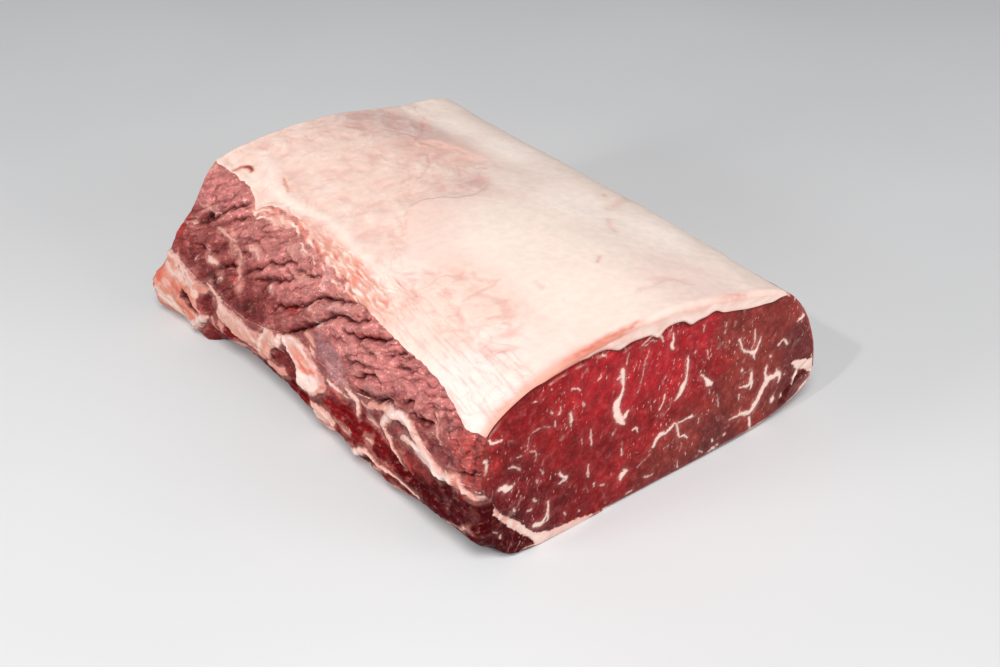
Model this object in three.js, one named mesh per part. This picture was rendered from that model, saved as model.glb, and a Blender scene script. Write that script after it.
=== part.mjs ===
// A raw boneless beef rib roast, lying on its lean underside with its fat cap up.
// Millimetres. +Z is up, +Y runs along the roast from its front cut face to its back one, and the
// origin is at the middle of the underside.
//
// Every piece runs the whole length of the roast, from cut face to cut face. So each one is a
// cross-section, worked out from the same outline, that is swept from the front to the back:
//
//   fat_cap      the layer of fat over the top
//   eye_muscle   the large lean muscle, with creases across its bare left side
//   seam_fat     the fat between the eye muscle and the chain
//   chain_muscle the strip of muscle along the lower left edge
//   tail_muscle  the thin end of muscle at the lower right edge
//   tail_fat     the fat outside it

import * as THREE from "three";

// --- Driving dimensions ---------------------------------------------------------------------------

const LENGTH = 252; // from cut face to cut face
const HALF_LENGTH = LENGTH / 2;
const GAP = 0.3; // between neighbouring pieces
const CUT_EDGE_RADIUS = 1.2; // the soft edge round each cut face
const CHAIN_EDGE_RADIUS = 7; // the chain is rounder there

// The outline of a cross-section, clockwise as seen from the front. Each point has its x and its
// height at four sections, evenly spaced from the front cut face to the back one.
const OUTLINE = {
  fatLeft: { x: [-81, -72, -60, -60], z: [69, 70, 70, 71] },
  topLeft: { x: [-55, -46, -35, -35], z: [82.3, 79.5, 77, 77] },
  crown: { x: [6, 8, 8, 6], z: [87.5, 84, 80, 78] },
  topRight: { x: [48, 46, 46, 46], z: [79, 79, 75, 71] },
  fatRight: { x: [77, 80, 81, 80], z: [69, 67.5, 65.5, 64] },
  rightUpper: { x: [95, 93.5, 94, 95], z: [47, 43, 42, 42] },
  rightLower: { x: [100.6, 100, 100, 99], z: [15, 17, 18, 18] },
  baseRight: { x: [79, 82, 83, 83], z: [4, 1, 0, 0] },
  baseMiddle: { x: [36, 38, 38, 38], z: [0, 0, 0, 0] },
  baseInner: { x: [-22, -22, -22, -22], z: [0, 0, 0, 0] },
  baseLeft: { x: [-66, -78, -77, -90], z: [0, 0, 0, 0] },
  chainSide: { x: [-85, -89, -91, -102], z: [14, 12, 16, 14] },
  seam: { x: [-85, -83, -88, -89], z: [40, 34, 30, 33] },
  leanSide: { x: [-85, -81, -75, -76], z: [56, 54, 50, 49] },
};
const POINTS = Object.values(OUTLINE);
const PLACE = Object.fromEntries(Object.keys(OUTLINE).map((name, index) => [name, index]));
const FULL_TURN = POINTS.length; // the outline closes here, at fatLeft again

// The fat cap's thickness at the front and back cut faces, from its left edge to its right one.
const FAT_FRONT = [1, 1, 1.3, 2.5, 4.1, 8, 7.2, 8.3, 7, 7, 5.4, 1.2];
const FAT_BACK = [1.2, 3.4, 4.6, 5.2, 6.4, 7, 8.4, 7.6, 8.4, 7, 4.4, 1.2];

// Left of this line the cap's outer layer has been pared away: [distance from the front, x].
const PARED_EDGE = [
  [0, -62], [26, -45], [50, -33], [80, -34], [112, -36], [122, -26], [129, 2],
  [137, 22], [150, 31], [168, 38], [184, 36], [198, 31], [225, 47], [252, 52],
];
const PARED_DEPTHS = [0.5, 0.6, 1.4, 2.6]; // at the same four sections
const PARED_SLOPE = 4; // the width of the step down

// Where the seam fat shows on the left side, as heights every 28 mm from the front, and how far
// it reaches in under the roast at the front and the back.
const SEAM_UPPER = [42, 38, 46, 36, 35, 36, 30, 28.5, 29, 31];
const SEAM_LOWER = [37, 31, 31, 28, 24, 28, 25.5, 24, 25, 27];
const SEAM_EYE_SIDE = { base: [-30, -50], bend: { x: [-68, -74], z: [10, 10] } };
const SEAM_CHAIN_SIDE = { base: [-55, -66], bend: { x: [-70, -80], z: [15, 13] } };

// The tail lies inside the outline's lower right corner, between these places on it.
const TAIL_EYE_SIDE = { top: 5.6, bottom: 6.9, bend: [76, 20] };
const TAIL_FAT_SIDE = { top: 5.78, bottom: 6.72, bend: [85, 17] };

// Creases across the bare left side: points as [distance from the front, height], and depths.
const CREASE_WIDTH = 3.4;
const CREASES = [
  { route: [[243, 55], [223, 67]], depth: 1.2 },
  { route: [[244, 44], [228, 55], [212, 66]], depth: 2 },
  { route: [[243, 40], [228, 49], [206, 65]], depth: 1.8 },
  { route: [[238, 39], [217, 45]], depth: 1.6 },
  { route: [[213, 37], [199, 46]], depth: 1.4 },
  { route: [[208, 48], [184, 56]], depth: 1.6 },
  { route: [[191, 42], [180, 51], [164, 58], [147, 64]], depth: 2.4 },
  { route: [[184, 40], [169, 50], [140, 65]], depth: 1.8 },
  { route: [[174, 39], [158, 49], [137, 61]], depth: 1.6 },
  { route: [[162, 38], [146, 47], [132, 57], [105, 69]], depth: 3 },
  { route: [[148, 33], [135, 44], [124, 54], [92, 67]], depth: 2.8 },
  { route: [[118, 52], [98, 58], [85, 63], [69, 71]], depth: 3.2 },
  { route: [[100, 42], [89, 50], [75, 54]], depth: 2 },
  { route: [[91, 38], [79, 48], [72, 51]], depth: 3 },
  { route: [[86, 36], [69, 42], [60, 47]], depth: 3 },
  { route: [[77, 56], [64, 60], [55, 66]], depth: 1.8 },
  { route: [[69, 62], [53, 72]], depth: 2 },
  { route: [[55, 52], [36, 64]], depth: 2.4 },
  { route: [[49, 49], [42, 54], [32, 62]], depth: 2.6 },
  { route: [[43, 49], [35, 52], [29, 58]], depth: 2.8 },
  { route: [[22, 44], [10, 52]], depth: 2 },
];

// Furrows along the chain: each runs between two [distance from the front, height] ends.
const FURROW_WIDTH = 4;
const FURROWS = [
  { route: [[2, 24], [40, 22], [76, 33]], depth: 3 },
  { route: [[8, 14], [60, 12], [100, 19]], depth: 1.8 },
  { route: [[104, 14], [135, 20], [152, 25]], depth: 3.4 },
  { route: [[150, 10], [185, 18], [206, 21]], depth: 2.2 },
  { route: [[206, 8], [224, 18]], depth: 3.4 },
  { route: [[222, 8], [238, 20]], depth: 3 },
];

// --- Sampling: how many points each stretch of a cross-section gets --------------------------------

const STATION_COUNT = 57; // cross-sections along the roast
const FAT_ARC = 19;
const LEFT_ARC = 14;
const RIGHT_ARC = 4;
const SEAM_ARC = 6;
const CHAIN_ARC = 11;
const TAIL_ARC = 5;
const BASE_ARC = 4;
const EDGE_MARGIN = 0.05; // of an outline step, between a piece's corner and the next piece

// --- Curves ---------------------------------------------------------------------------------------

const { clamp, lerp, smoothstep } = THREE.MathUtils;

// A smooth value at position t among evenly spaced ones.
function along(values, t) {
  const last = values.length - 1;
  const index = Math.min(Math.floor(clamp(t, 0, last)), last - 1);
  const before = values[index - 1] ?? 2 * values[0] - values[1];
  const after = values[index + 2] ?? 2 * values[last] - values[last - 1];
  const u = clamp(t, 0, last) - index;
  const [start, end] = [values[index], values[index + 1]];
  return start + 0.5 * u * (end - before
    + u * (2 * before - 5 * start + 4 * end - after + u * (3 * start - before - 3 * end + after)));
}

// The distance from a point to a route, both in the same plane.
function distanceToRoute(point, route) {
  const nearest = new THREE.Vector2();
  let distance = Infinity;
  for (let i = 0; i + 1 < route.length; i++) {
    const start = new THREE.Vector2(...route[i]);
    const step = new THREE.Vector2(...route[i + 1]).sub(start);
    const share = clamp(nearest.copy(point).sub(start).dot(step) / step.lengthSq(), 0, 1);
    distance = Math.min(distance, nearest.copy(start).addScaledVector(step, share).distanceTo(point));
  }
  return distance;
}

// How deep the deepest of some grooves is at a point.
function grooveDepth(point, grooves, width) {
  const depths = grooves.map(({ route, depth }) =>
    depth * Math.exp(-((distanceToRoute(point, route) / width) ** 2)));
  return Math.max(...depths);
}

// --- The outline ------------------------------------------------------------------------------------

const fromFront = (y) => y + HALF_LENGTH;

// A value given at the four sections, smoothly filled in between them.
const alongRoast = (values, y) => along(values, (fromFront(y) / LENGTH) * (values.length - 1));

function outlineRing(y) {
  const corners = POINTS.map(({ x, z }) => new THREE.Vector3(alongRoast(x, y), alongRoast(z, y), 0));
  return new THREE.CatmullRomCurve3(corners, true, "centripetal");
}

// A place on the plain outline and the direction into the meat from there, in the (x, z) plane.
function plainPlace(ring, place) {
  const share = (((place % FULL_TURN) + FULL_TURN) % FULL_TURN) / FULL_TURN;
  const point = ring.getPoint(share);
  const tangent = ring.getTangent(share);
  return {
    point: new THREE.Vector2(point.x, Math.max(point.y, 0)),
    inward: new THREE.Vector2(tangent.y, -tangent.x).normalize(),
  };
}

// The place on the left side at a given height.
function placeAtHeight(ring, height) {
  let [low, high] = [PLACE.chainSide, FULL_TURN];
  while (high - low > 1e-4) {
    const middle = (low + high) / 2;
    if (plainPlace(ring, middle).point.y < height) low = middle;
    else high = middle;
  }
  return low;
}

function cutEdgeInset(y, radius) {
  const fromFace = Math.min(fromFront(y), LENGTH - fromFront(y));
  const reach = Math.max(radius - fromFace, 0);
  return radius - Math.sqrt(radius ** 2 - reach ** 2);
}

function fatThickness(y, place) {
  const t = (place / PLACE.fatRight) * (FAT_FRONT.length - 1);
  const share = fromFront(y) / LENGTH;
  return Math.max(lerp(along(FAT_FRONT, t), along(FAT_BACK, t), share), 1);
}

function paredDepth(point, y) {
  const distance = fromFront(y);
  const row = PARED_EDGE.findIndex(([start]) => start >= distance);
  const [before, after] = [PARED_EDGE[Math.max(row - 1, 0)], PARED_EDGE[Math.max(row, 1)]];
  const share = (distance - before[0]) / (after[0] - before[0]);
  const edge = lerp(before[1], after[1], share);
  const steepness = Math.hypot(1, (after[1] - before[1]) / (after[0] - before[0]));
  const depth = alongRoast(PARED_DEPTHS, y);
  return depth * smoothstep((edge - point.x) / steepness, -PARED_SLOPE / 2, PARED_SLOPE / 2);
}

// How far the real surface lies inside the plain outline.
function reliefDepth(ring, y, place, point) {
  const cutEdge = cutEdgeInset(y, CUT_EDGE_RADIUS);
  if (place <= PLACE.fatRight || place >= FULL_TURN) {
    const thickness = fatThickness(y, place % FULL_TURN);
    return Math.min(paredDepth(point, y) + cutEdge, 0.4 * thickness);
  }
  if (place < PLACE.baseLeft) return cutEdge;
  const onSide = new THREE.Vector2(fromFront(y), point.y);
  const aboveBase = smoothstep(point.y, 2, 8);
  const belowFat = smoothstep(FULL_TURN - place, 0, 0.2);
  const belowSeam = smoothstep(plainPlace(ring, PLACE.seam).point.y - point.y, -4, 8);
  const groove = Math.max(
    grooveDepth(onSide, CREASES, CREASE_WIDTH), grooveDepth(onSide, FURROWS, FURROW_WIDTH));
  const edgeRadius = lerp(CUT_EDGE_RADIUS, CHAIN_EDGE_RADIUS, aboveBase * belowSeam);
  return Math.max(cutEdgeInset(y, edgeRadius), aboveBase * belowFat * groove);
}

function surfacePoint(ring, y, place) {
  const { point, inward } = plainPlace(ring, place);
  return point.addScaledVector(inward, reliefDepth(ring, y, place, point));
}

// A stretch of the surface between two places on the outline.
function surfaceArc(ring, y, from, to, count) {
  return Array.from({ length: count }, (_, i) =>
    surfacePoint(ring, y, lerp(from, to, i / (count - 1))));
}

// --- The layers inside the outline -------------------------------------------------------------------

// A curve bent towards one point, moved sideways by half a gap: +1 to its left, -1 to its right.
function innerCurve(start, bend, end, count, side) {
  const curve = new THREE.QuadraticBezierCurve(start, bend, end);
  return Array.from({ length: count }, (_, i) => {
    const share = i / (count - 1);
    const tangent = curve.getTangent(share);
    const aside = new THREE.Vector2(-tangent.y, tangent.x);
    const point = curve.getPoint(share).addScaledVector(aside, (side * GAP) / 2);
    return point.setY(Math.max(point.y, 0));
  });
}

// The underside of the fat cap, from left to right, at a further depth below it.
function underFatArc(ring, y, deeper) {
  return Array.from({ length: FAT_ARC }, (_, i) => {
    const place = (PLACE.fatRight * i) / (FAT_ARC - 1);
    const { point, inward } = plainPlace(ring, place);
    return point.addScaledVector(inward, fatThickness(y, place) + deeper);
  });
}

// One face of the seam, from the left side down to the base.
function seamCurve(ring, y, heights, { base, bend }, side) {
  const share = fromFront(y) / LENGTH;
  const height = alongRoast(heights, y);
  const start = surfacePoint(ring, y, placeAtHeight(ring, height));
  const middle = new THREE.Vector2(lerp(...bend.x, share), lerp(...bend.z, share));
  const end = new THREE.Vector2(lerp(...base, share), 0);
  return { place: placeAtHeight(ring, height), points: innerCurve(start, middle, end, SEAM_ARC, side) };
}

// One face of the tail, from the right side down to the base.
function tailCurve(ring, y, { top, bottom, bend }, side) {
  const start = surfacePoint(ring, y, top);
  const end = surfacePoint(ring, y, bottom);
  return innerCurve(start, new THREE.Vector2(...bend), end, TAIL_ARC, side);
}

// --- Cross-sections, clockwise as seen from the front --------------------------------------------------

function fatCapSection(ring, y) {
  const top = surfaceArc(ring, y, PLACE.fatLeft, PLACE.fatRight, FAT_ARC);
  return [...top, ...underFatArc(ring, y, 0).reverse()];
}

function eyeSection(ring, y) {
  const seam = seamCurve(ring, y, SEAM_UPPER, SEAM_EYE_SIDE, 1);
  return [
    ...surfaceArc(ring, y, seam.place + EDGE_MARGIN, FULL_TURN - EDGE_MARGIN, LEFT_ARC),
    ...underFatArc(ring, y, GAP),
    ...surfaceArc(ring, y, PLACE.fatRight + EDGE_MARGIN, TAIL_EYE_SIDE.top - EDGE_MARGIN, RIGHT_ARC),
    ...tailCurve(ring, y, TAIL_EYE_SIDE, -1),
    ...surfaceArc(ring, y, TAIL_EYE_SIDE.bottom + EDGE_MARGIN, PLACE.baseInner, BASE_ARC),
    ...seam.points.reverse(),
  ];
}

function seamFatSection(ring, y) {
  const eyeSide = seamCurve(ring, y, SEAM_UPPER, SEAM_EYE_SIDE, -1).points;
  const chainSide = seamCurve(ring, y, SEAM_LOWER, SEAM_CHAIN_SIDE, 1).points;
  return [...eyeSide, ...chainSide.reverse()];
}

function chainSection(ring, y) {
  const seam = seamCurve(ring, y, SEAM_LOWER, SEAM_CHAIN_SIDE, -1);
  return [
    ...surfaceArc(ring, y, PLACE.baseLeft, seam.place - EDGE_MARGIN, CHAIN_ARC),
    ...seam.points,
  ];
}

function tailMuscleSection(ring, y) {
  const fatSide = tailCurve(ring, y, TAIL_FAT_SIDE, -1);
  return [...fatSide, ...tailCurve(ring, y, TAIL_EYE_SIDE, 1).reverse()];
}

function tailFatSection(ring, y) {
  const { top, bottom } = TAIL_FAT_SIDE;
  const outside = surfaceArc(ring, y, top + EDGE_MARGIN, bottom - EDGE_MARGIN, TAIL_ARC);
  return [...outside, ...tailCurve(ring, y, TAIL_FAT_SIDE, 1).reverse()];
}

// --- Sweeping a cross-section into a solid ---------------------------------------------------------------

// Positions along the roast: close together at the soft edge of each cut face, then even.
function stations(every) {
  const inner = Array.from({ length: STATION_COUNT - 2 }, (_, i) =>
    lerp(-HALF_LENGTH + CUT_EDGE_RADIUS, HALF_LENGTH - CUT_EDGE_RADIUS, i / (STATION_COUNT - 3)));
  return [-HALF_LENGTH, ...inner.filter((_, i) => i % every === 0), HALF_LENGTH];
}

// The triangles of a layer's cut face: a strip between its two long sides.
function stripFace(corners) {
  return Array.from({ length: corners / 2 - 1 }, (_, i) => {
    const across = corners - 1 - i;
    return [[i, across, i + 1], [i + 1, across, across - 1]];
  }).flat();
}

// The triangles of a muscle's cut face: a fan round its centre.
function fanFace(corners, centre) {
  return Array.from({ length: corners }, (_, i) => [i, centre, (i + 1) % corners]);
}

// Where a corner lies across the layers. Two neighbours, whose shared corners run opposite ways
// round, split their facing quads along the same diagonal by it, so the gap stays even.
const acrossOf = ([x, , z]) => x - z;

function sweep({ name, section, every, fan, material }) {
  const places = stations(every);
  const rings = places.map((y) => section(outlineRing(y), y));
  const corners = rings[0].length;
  const vertices = rings.flatMap((ring, i) => ring.map(({ x, y: z }) => [x, places[i], z]));
  const triangles = [];
  for (let i = 0; i + 1 < rings.length; i++) {
    for (let j = 0; j < corners; j++) {
      const [near, nearNext] = [i * corners + j, i * corners + ((j + 1) % corners)];
      const [far, farNext] = [near + corners, nearNext + corners];
      const forward = acrossOf(vertices[near]) < acrossOf(vertices[nearNext]);
      triangles.push(...(forward
        ? [[near, nearNext, far], [nearNext, farNext, far]]
        : [[near, nearNext, farNext], [near, farNext, far]]));
    }
  }
  for (const index of [0, rings.length - 1]) {
    const first = index * corners;
    let face = stripFace(corners);
    if (fan) {
      const centre = new THREE.Vector2();
      rings[index].forEach((point) => centre.addScaledVector(point, 1 / corners));
      vertices.push([centre.x, places[index], centre.y]);
      face = fanFace(corners, vertices.length - 1 - first);
    }
    triangles.push(...face.map(([a, b, c]) =>
      (index === 0 ? [a + first, b + first, c + first] : [a + first, c + first, b + first])));
  }
  const geometry = new THREE.BufferGeometry();
  geometry.setAttribute("position", new THREE.Float32BufferAttribute(vertices.flat(), 3));
  geometry.setIndex(triangles.flat());
  geometry.computeVertexNormals();
  const mesh = new THREE.Mesh(geometry, material);
  mesh.name = name;
  return mesh;
}

// --- The pieces ----------------------------------------------------------------------------------------

const lean = new THREE.MeshStandardMaterial({ color: 0x9c3238, roughness: 0.42, metalness: 0 });
const dark = new THREE.MeshStandardMaterial({ color: 0x7a2228, roughness: 0.38, metalness: 0 });
const cover = new THREE.MeshStandardMaterial({ color: 0xf0ddd0, roughness: 0.5, metalness: 0 });
const soft = new THREE.MeshStandardMaterial({ color: 0xe6bfae, roughness: 0.46, metalness: 0 });

const roast = new THREE.Group();
roast.add(
  sweep({ name: "fat_cap", section: fatCapSection, every: 2, fan: false, material: cover }),
  sweep({ name: "eye_muscle", section: eyeSection, every: 1, fan: true, material: lean }),
  sweep({ name: "seam_fat", section: seamFatSection, every: 1, fan: false, material: soft }),
  sweep({ name: "chain_muscle", section: chainSection, every: 1, fan: true, material: dark }),
  sweep({ name: "tail_muscle", section: tailMuscleSection, every: 2, fan: false, material: dark }),
  sweep({ name: "tail_fat", section: tailFatSection, every: 2, fan: false, material: soft }),
);

export default roast;
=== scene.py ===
"""The looks of a raw boneless beef rib roast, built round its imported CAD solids.

Shapes are worked out in millimetres, in the frame of the CAD: +X to the right, +Y from the front cut
face to the back one, +Z up. `d` is the distance from the front cut face. Each piece is one closed
tube of cross-sections with a cut face at both ends, like the solid that it stands for. The tables of
strokes and patches say where fat, creases and colours lie. Functions turn them into a Look, which
holds the relief and the colours of every point, and the mesh carries those to its material.
"""

import math

import bpy
import numpy as np
from mathutils.geometry import delaunay_2d_cdt
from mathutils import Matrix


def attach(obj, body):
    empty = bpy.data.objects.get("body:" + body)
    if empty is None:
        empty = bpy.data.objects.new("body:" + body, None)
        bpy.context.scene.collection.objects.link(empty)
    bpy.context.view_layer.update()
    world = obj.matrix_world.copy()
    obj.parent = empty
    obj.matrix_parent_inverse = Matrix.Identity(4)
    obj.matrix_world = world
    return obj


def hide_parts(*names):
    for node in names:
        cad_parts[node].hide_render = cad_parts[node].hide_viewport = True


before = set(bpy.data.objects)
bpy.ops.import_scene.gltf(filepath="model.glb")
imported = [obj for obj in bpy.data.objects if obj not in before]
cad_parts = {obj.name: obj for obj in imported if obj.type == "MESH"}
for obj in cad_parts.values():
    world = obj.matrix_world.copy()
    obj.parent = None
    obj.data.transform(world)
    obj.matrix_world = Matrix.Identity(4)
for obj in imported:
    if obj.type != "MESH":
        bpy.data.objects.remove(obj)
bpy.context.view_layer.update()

# --- Dimensions of the roast, in millimetres -----------------------------------------------------

LENGTH = 252.0
HALF_LENGTH = LENGTH / 2
GAP = 0.04  # between two pieces that lie face to face
CUT_EDGE_RADIUS = 1.2
FAT_EDGE_RADIUS = 2.2
CHAIN_EDGE_RADIUS = 7.0
METRES = 0.001

# The outline of a cross-section: x and height at four sections from the front to the back.
OUTLINE = {
    "fat_left": ([-81, -72, -60, -60], [69, 70, 70, 71]),
    "top_left": ([-55, -46, -35, -35], [82.3, 79.5, 77, 77]),
    "crown": ([6, 8, 8, 6], [87.5, 84, 80, 78]),
    "top_right": ([48, 46, 46, 46], [79, 79, 75, 71]),
    "fat_right": ([77, 80, 81, 80], [69, 67.5, 65.5, 64]),
    "right_upper": ([95, 93.5, 94, 95], [47, 43, 42, 42]),
    "right_lower": ([100.6, 100, 100, 99], [15, 17, 18, 18]),
    "base_right": ([79, 82, 83, 83], [4, 1, 0, 0]),
    "base_middle": ([36, 38, 38, 38], [0, 0, 0, 0]),
    "base_inner": ([-22, -22, -22, -22], [0, 0, 0, 0]),
    "base_left": ([-66, -78, -77, -90], [0, 0, 0, 0]),
    "chain_side": ([-85, -89, -91, -102], [14, 12, 16, 14]),
    "seam": ([-85, -83, -88, -89], [40, 34, 30, 33]),
    "lean_side": ([-85, -81, -75, -76], [56, 54, 50, 49]),
}
CORNER_X = np.array([x for x, z in OUTLINE.values()], float)
CORNER_Z = np.array([z for x, z in OUTLINE.values()], float)
FULL_TURN = len(OUTLINE)
# Places on the outline are counted along these names, from fat_left on.
FAT_RIGHT = 4.0
BASE_INNER = 9.0
BASE_LEFT = 10.0
CHAIN_SIDE = 11.0
SEAM = 12.0
TOP_PLACE_LENGTH = 26.0  # about how far one place is from the next
RIGHT_PLACE_LENGTH = 25.0
FAR = 400.0  # further than any two points of the roast

# The fat cap's thickness from its left edge to its right one, at the front and at the back.
FAT_FRONT = [1, 1, 1.3, 2.5, 4.1, 8, 7.2, 8.3, 7, 7, 5.4, 1.2]
FAT_BACK = [1.2, 3.4, 4.6, 5.2, 6.4, 7, 8.4, 7.6, 8.4, 7, 4.4, 1.2]
# The fat whose outer layer is pared away: its border in (x, distance from the front).
PARED_COAST = [
    (52, 262), (51, 240), (49, 228), (46, 221), (41, 211), (35, 203), (29, 198), (31, 193), (34.5, 187),
    (36, 177), (38.5, 166), (35, 157), (30, 148), (24, 139.5), (17, 133.5), (10, 131.8), (4, 133),
    (-3, 137), (-9, 142), (-15, 142.5), (-20, 141), (-25, 136), (-29, 129.5), (-34, 121), (-40, 113),
    (-47, 106), (-47, 99), (-40, 92), (-34, 80), (-30, 63), (-31, 52), (-36, 36), (-43, 25),
    (-50, 18), (-56, 8), (-62, -10), (-95, -10), (-95, 262),
]
PARED_DEPTHS = [0.4, 0.5, 1.1, 1.3]  # from the front to the back
# The seam's two lines on the left side: their heights from the front to the back.
SEAM_UPPER = [42, 38, 46, 36, 35, 36, 30, 28.5, 29, 31]
SEAM_LOWER = [37, 31, 31, 28, 24, 28, 25.5, 24, 25, 27]
# The seam's two faces inside: x at the base, and the point that they bend towards, front and back.
SEAM_EYE_SIDE = {"base": (-30, -50), "bend_x": (-68, -74), "bend_z": (10, 10)}
SEAM_CHAIN_SIDE = {"base": (-55, -66), "bend_x": (-70, -80), "bend_z": (15, 13)}
# The tail's two faces inside: their places on the outline, and the point that they bend towards.
TAIL_EYE_SIDE = {"top": 5.6, "bottom": 6.9, "bend": (76, 20)}
TAIL_FAT_SIDE = {"top": 5.78, "bottom": 6.72, "bend": (85, 17)}

# --- Small maths ---------------------------------------------------------------------------------


def smoothstep(x, low, high):
    t = np.clip((x - low) / (high - low), 0, 1)
    return t * t * (3 - 2 * t)


def lerp(a, b, t):
    return a + (b - a) * t


def mixed(a, b, weight):
    """One colour, or a row of them, moved towards another by a weight for each row."""
    return a + (np.asarray(b) - a) * weight[:, None]


def bell(away, width, other=0.0, other_width=1.0):
    """1 at zero and falling off smoothly on both sides, over one distance or over two."""
    return np.exp(-((away / width) ** 2) - (other / other_width) ** 2)


def decay(away, width):
    """1 up to zero and falling off beyond it."""
    return np.exp(-np.maximum(away, 0) / width)


def pairs(first, second):
    return np.stack([first, second], -1)


def along(values, t):
    """A smooth value at positions t among evenly spaced ones, along the last axis."""
    v = np.asarray(values, float)
    last = v.shape[-1] - 1
    ends = 2 * v[..., :1] - v[..., 1:2], 2 * v[..., -1:] - v[..., -2:-1]
    v = np.concatenate([ends[0], v, ends[1]], -1)
    t = np.clip(t, 0, last)
    i = np.minimum(np.floor(t).astype(int), last - 1)
    u = t - i
    before, start, end, after = (v[..., i + k] for k in range(4))
    bend = 2 * before - 5 * start + 4 * end - after + u * (3 * start - before - 3 * end + after)
    return start + 0.5 * u * (end - before + u * bend)


def along_roast(values, d):
    return along(values, np.asarray(d) / LENGTH * (len(values) - 1))


def lattice(ix, iy, seed):
    """A number from 0 to 1 at each point of a whole-number grid, the same on every run."""
    h = (ix * 374761393 + iy * 668265263 + seed * 974634777) & 0xFFFFFFFF
    h = ((h ^ (h >> 13)) * 1274126177) & 0xFFFFFFFF
    return (h ^ (h >> 16)) / 4294967296.0


def noise(x, y, seed=0):
    """Smooth gradient noise from about -1 to 1, with one swell to a unit."""
    x, y = np.broadcast_arrays(np.asarray(x, float), np.asarray(y, float))
    ix, iy = np.floor(x).astype(np.int64), np.floor(y).astype(np.int64)
    fx, fy = x - ix, y - iy
    ux, uy = (f**3 * (f * (f * 6 - 15) + 10) for f in (fx, fy))
    total = np.zeros(x.shape)
    for ox, wx in ((0, 1 - ux), (1, ux)):
        for oy, wy in ((0, 1 - uy), (1, uy)):
            angle = lattice(ix + ox, iy + oy, seed) * 2 * math.pi
            total += wx * wy * (np.cos(angle) * (fx - ox) + np.sin(angle) * (fy - oy))
    return total * 1.5


def fractal(x, y, octaves=3, seed=0):
    return sum(noise(x * 2**k, y * 2**k, seed + 7 * k) / 2**k for k in range(octaves))


def drift(x, y, seeds, octaves=1):
    """A wandering step in two directions, that makes drawn lines ragged."""
    return pairs(*(fractal(x, y, octaves, seed) for seed in seeds))


def cusps(value, width):
    """Sharp-bottomed creases where smooth noise crosses zero: 1 in one, 0 a width away from it."""
    return (1 - np.clip(np.abs(value) / width, 0, 1)) ** 2


def colour(red, green, blue):
    """A colour given by its sRGB numbers from 0 to 255, as linear light."""
    c = np.array([red, green, blue]) / 255
    return np.where(c <= 0.04045, c / 12.92, ((c + 0.055) / 1.055) ** 2.4)


def smooth_route(rows, parts=5):
    """A smooth curve through rows of numbers, such as x, z and a width."""
    rows = np.asarray(rows, float)
    t = np.linspace(0, len(rows) - 1, (len(rows) - 1) * parts + 1)
    return along(rows.T, t).T


def nearest_on(at, line, reach):
    """For points near a line: their indexes, distances to it, and the line's further values there."""
    low, high = line[:, :2].min(0) - reach, line[:, :2].max(0) + reach
    near = np.flatnonzero(((at > low) & (at < high)).all(1))
    distance = np.full(len(near), float(reach))
    value = np.zeros(len(near))
    if not len(near):
        return near, distance, value
    points = at[near]
    for start, end in zip(line, line[1:]):
        step = end[:2] - start[:2]
        share = np.clip((points - start[:2]) @ step / max(step @ step, 1e-9), 0, 1)
        away = np.hypot(*(points - start[:2] - share[:, None] * step).T)
        closer = away < distance
        distance = np.where(closer, away, distance)
        value = np.where(closer, start[2] + share * (end[2] - start[2]), value)
    return near, distance, value


def stroke_depth(at, points, widths, reach=4.0):
    """How deep points lie in a stroke: half its width there, minus the distance to its middle line."""
    widths = np.resize(np.asarray(widths, float), len(points))
    line = smooth_route(np.column_stack([points, widths / 2]))
    depth = np.full(len(at), -reach)
    near, distance, half = nearest_on(at, line, reach + widths.max() / 2)
    depth[near] = np.maximum(half - distance, -reach)
    return depth


def patch_depth(at, corners, reach=6.0):
    """How deep points lie inside a closed patch; negative outside it."""
    corners = np.asarray(corners, float)
    count = len(corners)
    looped = np.column_stack([corners[np.arange(-2, count + 3) % count], np.zeros(count + 5)])
    ring = smooth_route(looped, 4)[8:-8]
    depth = np.full(len(at), -reach)
    near, distance, _ = nearest_on(at, ring, 60.0)
    x, z = at[near].T
    inside = np.zeros(len(near), bool)
    for (x1, z1, _), (x2, z2, _) in zip(ring, ring[1:]):
        crosses = (z1 > z) != (z2 > z)
        if z1 != z2:
            inside ^= crosses & (x < x1 + (z - z1) / (z2 - z1) * (x2 - x1))
    depth[near] = np.where(inside, distance, np.maximum(-distance, -reach))
    return depth


def spread(at, anchors, scale):
    """Colours blended between anchors, each a point and its colour, by nearness."""
    total, weights = np.zeros((len(at), 3)), np.zeros(len(at))
    for x, y, shade in anchors:
        squared = ((at[:, 0] - x) / scale[0]) ** 2 + ((at[:, 1] - y) / scale[1]) ** 2
        weight = 1 / (squared + 40.0) ** 2.2
        total += weight[:, None] * shade
        weights += weight
    return total / weights[:, None]


# --- The outline ---------------------------------------------------------------------------------


def above_floor(points):
    points[:, 1] = np.maximum(points[:, 1], 0)
    return points


def from_cut(d):
    """How far points lie from the nearer cut face."""
    return np.minimum(d, LENGTH - d)


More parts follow.
